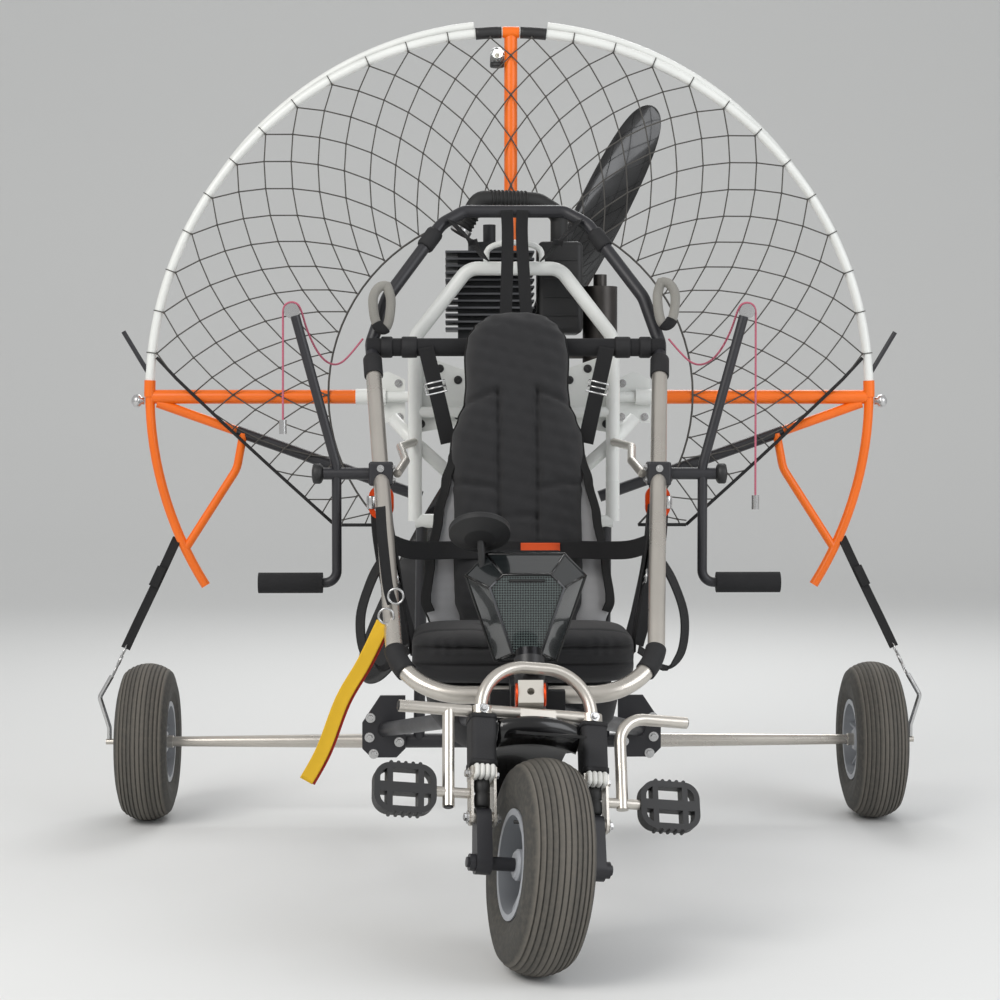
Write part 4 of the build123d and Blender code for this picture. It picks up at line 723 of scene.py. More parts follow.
foam = grained("black_foam", "1C1C1E", 0.92, drift=0.1, patch=30.0, grain=260.0, depth=0.6)[0]
dress(foam, "cross_bar", "lever_grips")
for side in (-1, 1):
    for index, (x, length) in enumerate(BAR_WRAPS):
        spot = axis_place(at(side * x, CROSS_Y, CROSS_Z), (1, 0, 0))
        turned("bar_wrap_%d_%d" % (side, index), wrap_profile(CROSS_R + WRAP_GAP, length, WRAP_T), spot, 32,
               "chassis", webbing)
    foot = at(side * RING_FOOT[0], *RING_FOOT[1:])
    run = (foot - at(side * RING_TOP[0], *RING_TOP[1:])).normalized()
    across = Vector((-side, 0, 0))
    inward = (across - run * run.dot(across)).normalized()
    bend_start = foot - run * (RING_BEND * math.tan(math.acos(run.dot(across)) / 2))
    bend_line = []
    for step in range(BEND_STEPS + 1):
        turn = math.radians(BEND_WRAP[0] + (BEND_WRAP[1] - BEND_WRAP[0]) * step / BEND_STEPS)
        bend_line.append(bend_start + RING_BEND * (run * math.sin(turn) + inward * (1 - math.cos(turn))))
    tubes("bend_wrap_%d" % side, [bend_line], RING_R + WRAP_T, "chassis", webbing, 24)
    high, low = (at(side * x, y, z) for x, y, z in (ROLL_SHOULDER, ROLL_SIDE))
    spot = axis_place(high.lerp(low, ROLL_WRAP_SHARE), low - high, (0, 1, 0))
    turned("roll_wrap_%d" % side, wrap_profile(ROLL_R + WRAP_GAP, ROLL_WRAP_L, ROLL_WRAP_T), spot, 32,
           "chassis", webbing)

# Propeller cage: white hoops, orange spars and legs sleeved over them, black inner struts, two
# thin horns that keep the lines off, black clamps at the crown and silver knobs at both sides.
CAGE_Y = 0.060
CAGE_Z = 0.897
HOOP_R = 0.768
HOOP_TUBE_R = 0.010
CLAMP_ANGLES = ((-5.6, -1.5), (1.5, 5.6))
CLAMP_T = 0.0025
CLAMP_STEPS = 8
KNOB_Z = 0.884
KNOB_GAP = 0.0118
KNOB = ((0, 0.0001), (0, 0.008), (0.006, 0.008), (0.008, 0.013), (0.015, 0.0145), (0.022, 0.012),
        (0.026, 0.006), (0.027, 0.0001))

white_coat = grained("white_powder_coat", "E4E6E3", 0.32, drift=0.03, grain=900.0, depth=0.06)[0]
orange_coat = grained("orange_powder_coat", "F06E0C", 0.35, drift=0.05, grain=900.0, depth=0.06)[0]
dress(white_coat, "cage_hoop", "cage_guard_hoops")
dress(orange_coat, "cage_legs", "cage_struts", "cage_spars")
dress(black_coat, "strut_tubes", "line_horns")


def on_hoop(angle, radius, y=CAGE_Y):
    """A point of the cage's plane at an angle in degrees from the crown, positive to the right."""
    turn = math.radians(angle)
    return at(radius * math.sin(turn), y, CAGE_Z + radius * math.cos(turn))


clamp_lines = [[on_hoop(first + (last - first) * k / CLAMP_STEPS, HOOP_R) for k in range(CLAMP_STEPS + 1)]
               for first, last in CLAMP_ANGLES]
tubes("crown_clamps", clamp_lines, HOOP_TUBE_R + CLAMP_T, "chassis", black_plastic, 20)
for side in (-1, 1):
    spot = axis_place(at(side * (HOOP_R + KNOB_GAP), CAGE_Y, KNOB_Z), (1, 0, 0))
    turned("hoop_knob_%d" % side, KNOB, spot, 28, "chassis", bolt_steel, way=side)

# Strobe lamp: a clear moulded dome over a small bulb, on a black plastic foot that is strapped to
# the upper spar of the cage.
LAMP_X = -0.0293
LAMP_Y = 0.065
LAMP_LOW = 1.592
LAMP_H = 0.042
LAMP_R = 0.015
LAMP_WALL = 0.0015
FOOT_H = 0.010
DOME = ((FOOT_H, LAMP_R), (0.028, LAMP_R), (0.036, 0.0125), (0.041, 0.007), (LAMP_H, 0.0001))
BULB = ((FOOT_H, 0.0001), (FOOT_H, 0.006), (0.016, 0.007), (0.024, 0.007), (0.029, 0.005), (0.031, 0.0001))
FOOT = ((0, 0.0001), (0, LAMP_R - 0.001), (0.002, LAMP_R), (0.0098, LAMP_R), (0.0098, 0.0001))

lamp_clear = material_with("lamp_clear", base_color=rgb("F2F4F4"), roughness=0.08, transmission_weight=0.9,
                           ior=1.45)[0]
lamp_bulb = grained("lamp_bulb", "EDE7D2", 0.3, grain=300.0, depth=0.1)[0]
dome_in = [(x - LAMP_WALL, max(r - LAMP_WALL, 0.0001)) for x, r in reversed(DOME[1:])]
dome_line = list(DOME) + dome_in + [(FOOT_H, LAMP_R - LAMP_WALL)]
lamp_place = axis_place(at(LAMP_X, LAMP_Y, LAMP_LOW), (0, 0, 1), (0, 1, 0))
turned("lamp_dome", dome_line, lamp_place, 32, "chassis", lamp_clear, ("strobe_lamp",))
turned("lamp_bulb", BULB, lamp_place, 20, "chassis", lamp_bulb)
turned("lamp_foot", FOOT, lamp_place, 32, "chassis", black_plastic)

# Net: knotted string in diamond cells, tied round the hoop knot by knot and drawn tight on a
# black border rope along both lower edges and a thin one round the engine.
NET_Y = 0.0485
NET_KNOTS = 54
NET_CELL = 0.058
NET_OUTER = 0.756
NET_LAST = 0.345
NET_FOOT = (0.375, 0.620)
NET_SIDE = 84
STRING_R = 0.0015
KNOT_R = 0.0029
ROPE_R = 0.0036

string_cloth = grained("net_string", "4C4A47", 0.85, drift=0.2, patch=30.0, grain=900.0, depth=0.4)[0]
rope_cloth = grained("border_rope", "1B1B1C", 0.8, drift=0.15, patch=60.0, grain=600.0, depth=0.6)[0]
half_pitch = 180 / NET_KNOTS
net_rings = [NET_OUTER]
while True:
    fall = math.sqrt(NET_CELL**2 - (math.pi * net_rings[-1] / NET_KNOTS)**2)
    if net_rings[-1] - fall < NET_LAST:
        break
    net_rings.append(net_rings[-1] - fall)
net_inner = net_rings[-1] - 0.005
side_high = on_hoop(NET_SIDE, HOOP_R - 0.007, NET_Y)
net_foot = at(NET_FOOT[0], NET_Y, NET_FOOT[1])
edge_run = (side_high - net_foot).normalized()


def within_net(point):
    """How far a point lies inside the lower borders of the net."""
    reach = point.z - net_foot.z
    for sign in (-1, 1):
        reach = min(reach, (point.z - net_foot.z) * edge_run.x - (sign * point.x - net_foot.x) * edge_run.z)
    return reach


strands = []
for hand in (-1, 1):
    for knot in range(NET_KNOTS):
        line = []
        for row, radius in enumerate(net_rings + [net_inner]):
            turn = (2 * knot + 1 + hand * min(row, len(net_rings) - 1)) * half_pitch
            spot = on_hoop(turn, radius, NET_Y)
            if line and within_net(spot) * within_net(line[-1]) < 0:
                near, far = within_net(line[-1]), within_net(spot)
                line.append(line[-1].lerp(spot, near / (near - far)))
            line.append(spot)
        kept = []
        for spot in line:
            if within_net(spot) > -1e-6:
                kept.append(spot)
            elif len(kept) > 1:
                strands.append(kept)
                kept = []
            else:
                kept = []
        if len(kept) > 1:
            strands.append(kept)
net_shell = bmesh.new()
for line in strands:
    add_tube(net_shell, line, STRING_R, 5)
for row, radius in enumerate(net_rings):
    for knot in range(NET_KNOTS):
        spot = on_hoop((2 * knot + 1 + row) * half_pitch, radius, NET_Y)
        if within_net(spot) > 0:
            bmesh.ops.create_icosphere(net_shell, subdivisions=1, radius=KNOT_R,
                                       matrix=Matrix.Translation(spot))
for knot in range(NET_KNOTS):
    turn = (2 * knot + 1) * half_pitch
    turn -= 360 if turn > 180 else 0
    if abs(turn) < NET_SIDE:
        tie_r = HOOP_TUBE_R + STRING_R
        loop = [on_hoop(turn, HOOP_R + tie_r * math.cos(angle), CAGE_Y + tie_r * math.sin(angle))
                for angle in turns(12)]
        add_tube(net_shell, loop, STRING_R * 0.7, 5, closed=True)
        add_tube(net_shell, [on_hoop(turn, NET_OUTER, NET_Y), on_hoop(turn, HOOP_R - 0.008, CAGE_Y - 0.0085)],
                 STRING_R, 5)
shell_object("net_strings", net_shell, "chassis", string_cloth, ("cage_net",))
inner_end = 90 + math.degrees(math.asin((CAGE_Z - NET_FOOT[1]) / net_inner))
inner_rope = [on_hoop(inner_end * (k / 30 - 1), net_inner, NET_Y) for k in range(61)]
tubes("inner_rope", [inner_rope], STRING_R * 1.6, "chassis", string_cloth, 6)
lower_ropes = []
for sign in (-1, 1):
    lower_ropes.append([on_hoop(sign * NET_SIDE, HOOP_R - 0.012, NET_Y + 0.004)] + [
        Vector((sign * (side_high.x + (net_foot.x - side_high.x) * k / 8), net_foot.y,
                side_high.z + (net_foot.z - side_high.z) * k / 8 - 0.004 * math.sin(math.pi * k / 8)))
        for k in range(1, 9)])
    lower_ropes.append([Vector((sign * net_foot.x, net_foot.y, net_foot.z)),
                        Vector((sign * abs(inner_rope[-1].x), net_foot.y, net_foot.z))])
tubes("border_ropes", lower_ropes, ROPE_R, "chassis", rope_cloth, 8)

# Power unit: a white tube frame carries the engine, whose dark cast fins have bright machined
# edges. Side plates with black rivets, short diagonals and a small hoop are welded to the frame.
FRAME_Y = -0.180
FRAME_R = 0.014
FRAME_TOP = 1.149
# Engine's finned block: middle, half width, depth, lowest and highest point
FIN_X = -0.048
FIN_Y = -0.075
FIN_HALF_W = 0.090
FIN_HALF_D = 0.065
FIN_LOW = 1.020
FIN_TOP = 1.190
FINS = 12
FIN_T = 0.005
FIN_EDGE = 0.0007
SIDE_PLATE = ((0.214, 0.815), (0.214, 0.952), (0.170, 0.970), (0.098, 0.945), (0.098, 0.835))
SIDE_PLATE_Y = -0.163
SIDE_PLATE_T = 0.004
PLATE_CHAMFER = 0.0012
RIVETS = ((0.196, 0.935), (0.150, 0.948), (0.113, 0.925), (0.113, 0.853), (0.188, 0.836))
RIVET = ((0, 0.0001), (0, 0.0085), (0.0015, 0.0085), (0.0035, 0.006), (0.0042, 0.0001))
DIAGONAL_R = 0.0135
DIAGONAL = ((0.247, -0.150, 0.848), (0.200, -0.164, 0.798), (0.120, -0.170, 0.726))
HOOP_HALF_W = 0.056
HOOP_RISE = 0.040
HOOP_STEPS = 16
SMALL_HOOP_R = 0.006
GUSSET_BACK_Y = 0.0768
GUSSET_BOLTS = ((0.238, 0.850), (0.288, 0.850), (0.240, 0.922))

cast_metal = grained("dark_cast", "3A3B3D", 0.5, drift=0.14, patch=14.0, grain=420.0, depth=0.5,
                     metallic=0.55)[0]
# The same light finish also paints the highlights along the pod's front edges.
machined_and_highlight = grained("machined_edge_and_highlight", "5E5F62", 0.45, grain=1200.0, depth=0.1, metallic=0.7)[0]
dress(white_coat, "engine_frame", "frame_gussets")
dress(cast_metal, "engine", "drive_plate")


def add_frame(shell, centre, half_w, half_d, half_h, band):
    """Add a thin upright band round a rectangle to a shell."""
    corners = ((-1, -1), (1, -1), (1, 1), (-1, 1))
    rows = []
    for grow, z in ((0, -half_h), (band, -half_h * 0.8), (band, half_h * 0.8), (0, half_h)):
        rows.append([shell.verts.new(centre + Vector((x * (half_w + grow), y * (half_d + grow), z)))
                     for x, y in corners])
    for low, high in zip(rows, rows[1:] + rows[:1]):
        for k in range(4):
            shell.faces.new((low[k], low[(k + 1) % 4], high[(k + 1) % 4], high[k]))


fin_shell = bmesh.new()
for index in range(FINS):
    fin_z = FIN_LOW + (FIN_TOP - FIN_LOW) / FINS * (index + 0.7)
    add_frame(fin_shell, at(FIN_X, FIN_Y, fin_z), FIN_HALF_W, FIN_HALF_D, FIN_T * 0.42, FIN_EDGE)
fin_edges = shell_object("fin_edges", fin_shell, "chassis", machined_and_highlight)
fin_edges.data.shade_flat()


def plate(name, outline, y, thick, body, finish):
    """A flat plate across the model from its outline of (x, z), with a small chamfer in front."""
    points = []
    middle = [sum(p[k] for p in outline) / len(outline) for k in (0, 1)]
    for depth, inset in ((0, PLATE_CHAMFER), (PLATE_CHAMFER, 0), (thick, 0)):
        for x, z in outline:
            dx, dz = middle[0] - x, middle[1] - z
            share = inset / math.hypot(dx, dz)
            points.append(at(x + dx * share, y + depth, z + dz * share))
    count = len(outline)
    faces = [tuple(range(count)), tuple(range(2 * count, 3 * count))]
    for row in (0, 1):
        for k in range(count):
            n = (k + 1) % count
            faces.append((row * count + k, row * count + n, (row + 1) * count + n, (row + 1) * count + k))
    return add_object(name, mesh_of(name, points, faces, smooth=False), body, finish)


diagonals = []
gusset_rows = []
for side in (-1, 1):
    plate("frame_plate_%d" % side, [(side * x, z) for x, z in SIDE_PLATE], SIDE_PLATE_Y, SIDE_PLATE_T,
          "chassis", white_coat)
    for index, (x, z) in enumerate(RIVETS):
        spot = axis_place(at(side * x, SIDE_PLATE_Y, z), (0, -1, 0))
        turned("plate_rivet_%d_%d" % (side, index), RIVET, spot, 20, "chassis", black_plastic)
    diagonals.append([at(side * x, y, z) for x, y, z in DIAGONAL])
    for x, z in GUSSET_BOLTS:
        gusset_rows.append((at(side * x, GUSSET_BACK_Y, z), (0, -1, 0), 0.009, 0.006))
tubes("frame_diagonals", diagonals, DIAGONAL_R, "chassis", white_coat, 16)
small_hoop = [at(-HOOP_HALF_W, FRAME_Y, FRAME_TOP + FRAME_R * 0.7)]
for k in range(HOOP_STEPS + 1):
    turn = math.pi * (1 - k / HOOP_STEPS)
    small_hoop.append(at(HOOP_HALF_W * math.cos(turn), FRAME_Y,
                         FRAME_TOP + FRAME_R + 0.008 + HOOP_RISE * math.sin(turn) ** 0.6 * 0.75))
small_hoop.append(at(HOOP_HALF_W, FRAME_Y, FRAME_TOP + FRAME_R * 0.7))
tubes("small_hoop", [small_hoop], SMALL_HOOP_R, "chassis", white_coat, 14)
bolts("gusset_bolts", "chassis", gusset_rows)

# Air box, intake hose, exhaust and tank: ribbed black plastic, a corrugated rubber hose held by a
# steel clamp, a heat-stained can, and a milky moulded tank with a screw cap.
HOSE_R = 0.018
HOSE_LOW = (-0.110, -0.150, 1.222)
HOSE_RISE = (-0.070, -0.150, 1.291)
HOSE_TURN = (0.050, -0.115, 1.291)
# Ribbed runs of the hose: start, end, and the shares between which the ribs stand
HOSE_RUNS = ((HOSE_LOW, HOSE_RISE, 0.0, 0.72), (HOSE_RISE, HOSE_TURN, 0.2, 0.85))
HOSE_RING_STEP = 0.0075
HOSE_RING_R = 0.0022
# Hose clamp: its inner radius, length and thickness, and its share of the first run
HOSE_CLAMP = (HOSE_R + 0.0026, 0.012, 0.0014)
CLAMP_SHARE = 0.08
TANK_TOP = 0.6257
CAP_AT = (0.085, -0.095, TANK_TOP)
CAP = ((0, 0.0001), (0, 0.029), (0.004, 0.030), (0.018, 0.028), (0.022, 0.024), (0.022, 0.0001))

stained_steel = grained("heat_stained_steel", "4A4745", 0.4, drift=0.3, patch=11.0, grain=600.0, depth=0.2,
                        metallic=0.8)[0]
tank_plastic = grained("milky_tank", "C9C8BE", 0.45, drift=0.05, grain=500.0, depth=0.1,
                       subsurface_weight=0.15)[0]
dress(black_plastic, "air_box")
dress(stained_steel, "exhaust")
dress(black_rubber, "intake_hose")
dress(tank_plastic, "fuel_tank")
hose_shell = bmesh.new()
for start, end, first, last in HOSE_RUNS:
    low, high = at(*start), at(*end)
    count = int((high - low).length * (last - first) / HOSE_RING_STEP)
    for k in range(count):
        spot = axis_place(low.lerp(high, first + (last - first) * k / count), high - low, (0, 1, 0))
        ring = [spot @ Vector((0, (HOSE_R + WRAP_GAP) * math.cos(turn), (HOSE_R + WRAP_GAP) * math.sin(turn)))
                for turn in turns(24)]
        add_tube(hose_shell, ring, HOSE_RING_R, 6, closed=True)
shell_object("hose_rings", hose_shell, "chassis", black_rubber)
low, high = at(*HOSE_LOW), at(*HOSE_RISE)
clamp_spot = axis_place(low.lerp(high, CLAMP_SHARE), high - low, (0, 1, 0))
turned("hose_clamp", wrap_profile(*HOSE_CLAMP), clamp_spot, 40, "chassis", bolt_steel)
cap_spot = axis_place(at(*CAP_AT), (0, 0, 1), (0, 1, 0))
turned("tank_cap", CAP, cap_spot, 40, "chassis", black_plastic)

# Propeller: two broad gloss black composite blades with round tips on a turned hub, clamped
# between two plates by six bolts.
PROP_Y = 0.190
PROP_TILT = math.radians(26.6)
PROP_R = 0.710
HUB_R = 0.045
HUB_FRONT = 0.078
HUB_BACK = 0.235
BOLT_CIRCLE_R = 0.030
HUB_BOLTS = 6
# Blade sections: share of the radius, chord, thickness, twist in degrees
BLADE = ((0.035, 0.052, 0.026, 34), (0.16, 0.070, 0.022, 30), (0.34, 0.100, 0.017, 25),
         (0.52, 0.116, 0.014, 20), (0.70, 0.116, 0.011, 16), (0.84, 0.106, 0.009, 13),
         (0.93, 0.086, 0.007, 11), (0.975, 0.060, 0.005, 10), (0.995, 0.030, 0.003, 10),
         (1.0, 0.008, 0.002, 10))
BLADE_BACK = 0.015
BLADE_SIDES = 28
# Turned hub and clamp plate: distance along the shaft, radius
HUB = ((HUB_FRONT, 0.0125), (HUB_FRONT, 0.031), (HUB_FRONT + 0.003, 0.033), (0.186, 0.033), (0.190, HUB_R),
       (HUB_BACK - 0.003, HUB_R), (HUB_BACK, HUB_R - 0.003), (HUB_BACK, 0.0001), (0.2045, 0.0001),
       (0.2045, 0.0125))
HUB_PLATE = ((0, 0.0001), (0, 0.040), (0.003, 0.040), (0.005, 0.038), (0.005, 0.0001))
HUB_PLATE_GAP = 0.0003

blade_finish = grained("blade_gloss", "0C0C0E", 0.14, drift=0.12, patch=20.0, grain=260.0, depth=0.0,
                       coat_weight=0.6)[0]
hub_metal = grained("hub_metal", "2A2B2D", 0.35, grain=900.0, depth=0.1, metallic=0.7)[0]


def blade_ring(share, chord, thick, twist, side):
    """Points round one section of a blade, side 0 up and side 1 down."""
    ring = []
    turn = math.radians(twist)
    whole = PROP_TILT + side * math.pi
    for angle in turns(BLADE_SIDES):
        x = chord / 2 * math.cos(angle)
        y = thick / 2 * math.sin(angle) * (1.2 if math.sin(angle) > 0 else 0.6) * (1 - 0.25 * math.cos(angle))
        local = Vector((x * math.cos(turn) - y * math.sin(turn), x * math.sin(turn) + y * math.cos(turn),
                        share * PROP_R))
        ring.append(at(local.x * math.cos(whole) + local.z * math.sin(whole), PROP_Y + BLADE_BACK + local.y,
                       CAGE_Z - local.x * math.sin(whole) + local.z * math.cos(whole)))
    return ring


blade_points = []
blade_faces = []
for side in (0, 1):
    first = len(blade_points)
    for row in BLADE:
        blade_points += blade_ring(*row, side)
    for row in range(len(BLADE) - 1):
        for k in range(BLADE_SIDES):
            a = first + row * BLADE_SIDES + k
            b = first + row * BLADE_SIDES + (k + 1) % BLADE_SIDES
            blade_faces.append((a, b, b + BLADE_SIDES, a + BLADE_SIDES))
    blade_faces.append(tuple(range(first, first + BLADE_SIDES)))
    last = first + (len(BLADE) - 1) * BLADE_SIDES
    blade_faces.append(tuple(range(last, last + BLADE_SIDES)))
blades = add_object("propeller_blades", mesh_of("propeller_blades", blade_points, blade_faces), "propeller",
                    blade_finish, ("propeller",))
smoothing = blades.modifiers.new("smooth", "SUBSURF")
smoothing.levels = 2
smoothing.render_levels = 2
hub_spot = axis_place(at(0, 0, CAGE_Z), (0, 1, 0))
turned("propeller_hub", HUB, hub_spot, 56, "propeller", hub_metal)
plate_spot = at(0, HUB_BACK + HUB_PLATE_GAP, CAGE_Z)
turned("hub_plate", HUB_PLATE, axis_place(plate_spot, (0, 1, 0)), 48, "propeller", bolt_steel)
bolts("hub_bolts", "propeller", [
    (plate_spot + Vector((BOLT_CIRCLE_R * math.cos(turn), 0.0052, BOLT_CIRCLE_R * math.sin(turn))), (0, 1, 0),
     0.009, 0.006) for turn in turns(HUB_BOLTS)])

# Seat: a leaning back with a rounded head rest and a sewn spine, grey spacer-mesh wings beside it,
# a fat cushion with a rolled front and a slack bag below. Foam pads under woven black cloth.
BACK_LEAN = math.radians(10.5)
BACK_AT = (0, -0.3355, 0.9892)
BACK_T = 0.072
BACK_LOW = -0.540
BACK_TOP = 0.056
WING_T = 0.040
WING_TOP = -0.185
WING_EDGE_W = 0.022
CAP_ROWS = 16
SPINE_SEAM = 0.037
# Half width of the back by height along it
BACK_WIDTHS = ((0.056, 0.030), (0.046, 0.062), (0.030, 0.081), (0.008, 0.094), (-0.030, 0.099),
               (-0.085, 0.097), (-0.120, 0.100), (-0.150, 0.112), (-0.185, 0.125), (-0.230, 0.128),
               (-0.330, 0.124), (-0.430, 0.126), (-0.500, 0.124), (-0.540, 0.112))
WING_WIDTHS = ((-0.185, 0.112), (-0.225, 0.130), (-0.270, 0.143), (-0.340, 0.158), (-0.430, 0.174),
               (-0.500, 0.182), (-0.540, 0.168))
PIPING_R = 0.003
PIPING_STEPS = 80
PAD_GAP = 0.0004
CUSHION_HALF_W = 0.196
CUSHION_FRONT = -0.815
CUSHION_BACK = -0.4986
CUSHION_LOW = 0.3853
CUSHION_TOP = 0.476
BAG_LOW = (-0.182, -0.770, 0.2450)
BAG_HIGH = (0.182, -0.490, 0.3845)
FADE_SPAN = (0.6, 2.2)

weave_tree, weave_in, weave_out = group_of(
    "cloth_weave",
    (("Color", "Color", (0.1, 0.1, 0.1, 1)), ("Thread", "Float", 900.0), ("Depth", "Float", 0.4),
     ("Drift", "Float", 0.2)),
    (("Color", "Color"), ("Normal", "Vector")))
weave_place = object_place(weave_tree)
warp, weft = (add_node(weave_tree, "ShaderNodeTexWave", {
    "Vector": weave_place, "Scale": weave_in.outputs["Thread"], "Distortion": 0.4},
    bands_direction=way).outputs["Fac"] for way in ("X", "Z"))
threads = math_node(weave_tree, "ADD", warp, weft)
fade = add_node(weave_tree, "ShaderNodeTexNoise", {"Vector": weave_place, "Scale": 14.0, "Detail": 5.0})
fade_sum = math_node(weave_tree, "ADD", fade.outputs["Fac"], threads)
weave_bump = add_node(weave_tree, "ShaderNodeBump", {
    "Height": threads, "Strength": weave_in.outputs["Depth"], "Distance": 0.0006})
weave_tree.links.new(drifting(weave_tree, weave_in, fade_sum, FADE_SPAN), weave_out.inputs["Color"])
weave_tree.links.new(weave_bump.outputs["Normal"], weave_out.inputs["Normal"])


def woven(name, colour, thread, depth, drift, **sockets):
    """A cloth material with the shared weave."""
    values = {"Color": rgb(colour), "Thread": thread, "Depth": depth, "Drift": drift}
    return finished(name, weave_tree, values, sockets)[0]


seat_cloth = woven("seat_cloth", "252527", 420.0, 0.5, 0.22, roughness=0.88, sheen_weight=0.12)
binding = woven("seat_binding", "121213", 520.0, 0.6, 0.25, roughness=0.8)
mesh_cloth = woven("spacer_mesh", "A6A6A8", 150.0, 0.9, 0.35, roughness=0.85)

lean_up = Vector((0, math.sin(BACK_LEAN), math.cos(BACK_LEAN)))
lean_out = Vector((0, -math.cos(BACK_LEAN), math.sin(BACK_LEAN)))


def on_back(across, height, out):
    """A point given across the seat back, along it and out from its rear face."""
    return at(*BACK_AT) + Vector((across, 0, 0)) + lean_up * height + lean_out * out


def width_at(widths, height):
    """Half width at a height, read smoothly between the rows of a table."""
    for (high, first), (low, last) in zip(widths, widths[1:]):
        if low <= height <= high:
            share = (high - height) / (high - low)
            return first + (last - first) * share * share * (3 - 2 * share)
    return widths[-1][1]


def groove(distance, width):
    """Depth of a sewn seam, from 1 on its line to 0 beside it."""
    return math.exp(-(distance / width)**2)


def pad(name, widths, crown, columns, rows, finish, replaces=()):
    """A closed sewn pad on the seat back; crown(across, height, share) gives its thickness."""
    top, low = widths[0][0], widths[-1][0]
    points = []
    for row in range(rows + 1):
        ease = (1 - math.cos(math.pi * row / rows)) / 2
        height = top + (low - top) * (0.35 * row / rows + 0.65 * ease)
        half = width_at(widths, height)
        for column in range(columns + 1):
            share = math.sin(math.pi / 2 * (2 * column / columns - 1))
            points.append(on_back(share * half, height, crown(share * half, height, share)))
    for point in list(points):
        out = (point - at(*BACK_AT)).dot(lean_out)
        points.append(point - lean_out * (out - PAD_GAP))
    made = mesh_of(name, points, sheet_faces(columns, rows))
    return add_object(name, made, "chassis", finish, replaces)


def ends(height, top, low, reach):
    """Falls to 0 at both ends of a pad, over a short reach."""
    near = min(max((top - height) / reach, 0), max((height - low) / reach, 0), 1)
    return math.sqrt(max(1 - (1 - near)**2, 0))


def back_crown(across, height, share):
    """Thickness of the seat back: edges pull in, seams beside the spine and under the head rest."""
    edge = (1 - abs(share)**5)**0.5 if abs(share) < 1 else 0
    body = 0.018 + (BACK_T - 0.018) * edge * (0.35 + 0.65 * ends(height, BACK_TOP, BACK_LOW, 0.04))
    fade_in = min(max((-0.085 - height) / 0.03, 0), 1)
    seams = 0.012 * fade_in * (groove(abs(across) - SPINE_SEAM, 0.005))
    arch = -0.105 - 0.35 * max(abs(across) - 0.045, 0)
    if abs(across) > SPINE_SEAM:
        seams += 0.010 * groove(height - arch, 0.006)
        seams += 0.008 * groove(height + 0.290 - 0.15 * (abs(across) - SPINE_SEAM), 0.006)
        seams += 0.008 * groove(height + 0.400, 0.006)
    else:
        seams += 0.007 * groove(height + 0.345, 0.006)
    puff = 0.0016 * math.sin(across * 190 + 0.6) * math.sin(height * 75)
    puff += 0.0012 * math.sin(height * 230 + across * 60)
    return min(body - seams + puff * edge, BACK_T)


def wing_crown(across, height, share):
    """Thickness of the mesh wings, dished towards the middle pad."""
    edge = (1 - abs(share)**6)**0.5 if abs(share) < 1 else 0
    return 0.010 + (WING_T - 0.010) * edge * (0.4 + 0.6 * ends(height, WING_TOP, BACK_LOW, 0.04))


back_pad = pad("seat_back_pad", BACK_WIDTHS, back_crown, 64, 130, seat_cloth, ("seat_back",))
pad("seat_wings", WING_WIDTHS, wing_crown, 40, 50, mesh_cloth)
for name, widths, out in (("back_piping", BACK_WIDTHS, 0.019), ("wing_piping", WING_WIDTHS, 0.011)):
    top, low = widths[0][0], widths[-1][0]
    heights = [top + (low - top) * k / PIPING_STEPS for k in range(PIPING_STEPS + 1)]
    line = [on_back(width_at(widths, h), h, out) for h in heights]
    line += [on_back(-width_at(widths, h), h, out) for h in reversed(heights)]
    tubes(name, [line], PIPING_R, "chassis", binding, 8, closed=True)


def pillow(name, low, high, power, shape, columns, rows, finish, replaces=()):
    """A closed cushion in a box; shape(x, y, up) in shares of the box moves its skin."""
    middle = (Vector(low) + Vector(high)) / 2
    half = (Vector(high) - Vector(low)) / 2
    rises = [0.94 * (2 * row / rows - 1) for row in range(rows + 1)]
    lifts = [math.asin(math.copysign(abs(rise)**(1 / power), rise)) for rise in rises]
    edge = math.cos(lifts[-1])**(power * 0.9)
    caps = [math.acos((edge * (1 - row / CAP_ROWS))**(1 / (power * 0.9))) for row in range(1, CAP_ROWS + 1)]
    lifts = [-lift for lift in reversed(caps)] + lifts + caps
    points = []
    for lift in lifts:
        round_in = abs(math.cos(lift))**(power * 0.9)
        up = math.copysign(abs(math.sin(lift))**power, lift)
        for turn in turns(columns):
            x, y = rounded(turn, power)
            share = shape(x * round_in, y * round_in, up)
            points.append(at(*(middle[k] + half[k] * share[k] for k in range(3))))
    faces = []
    for row in range(len(lifts) - 1):
        for column in range(columns):
            a, b = row * columns + column, row * columns + (column + 1) % columns
            faces.append((a, b, b + columns, a + columns))
    made = mesh_of(name, points, faces)
    shell = bmesh.new()
    shell.from_mesh(made)
    bmesh.ops.remove_doubles(shell, verts=shell.verts, dist=0.0002)
    bmesh.ops.recalc_face_normals(shell, faces=shell.faces)
    shell.to_mesh(made)
    shell.free()
    made.shade_smooth()
    return add_object(name, made, "chassis", finish, replaces)


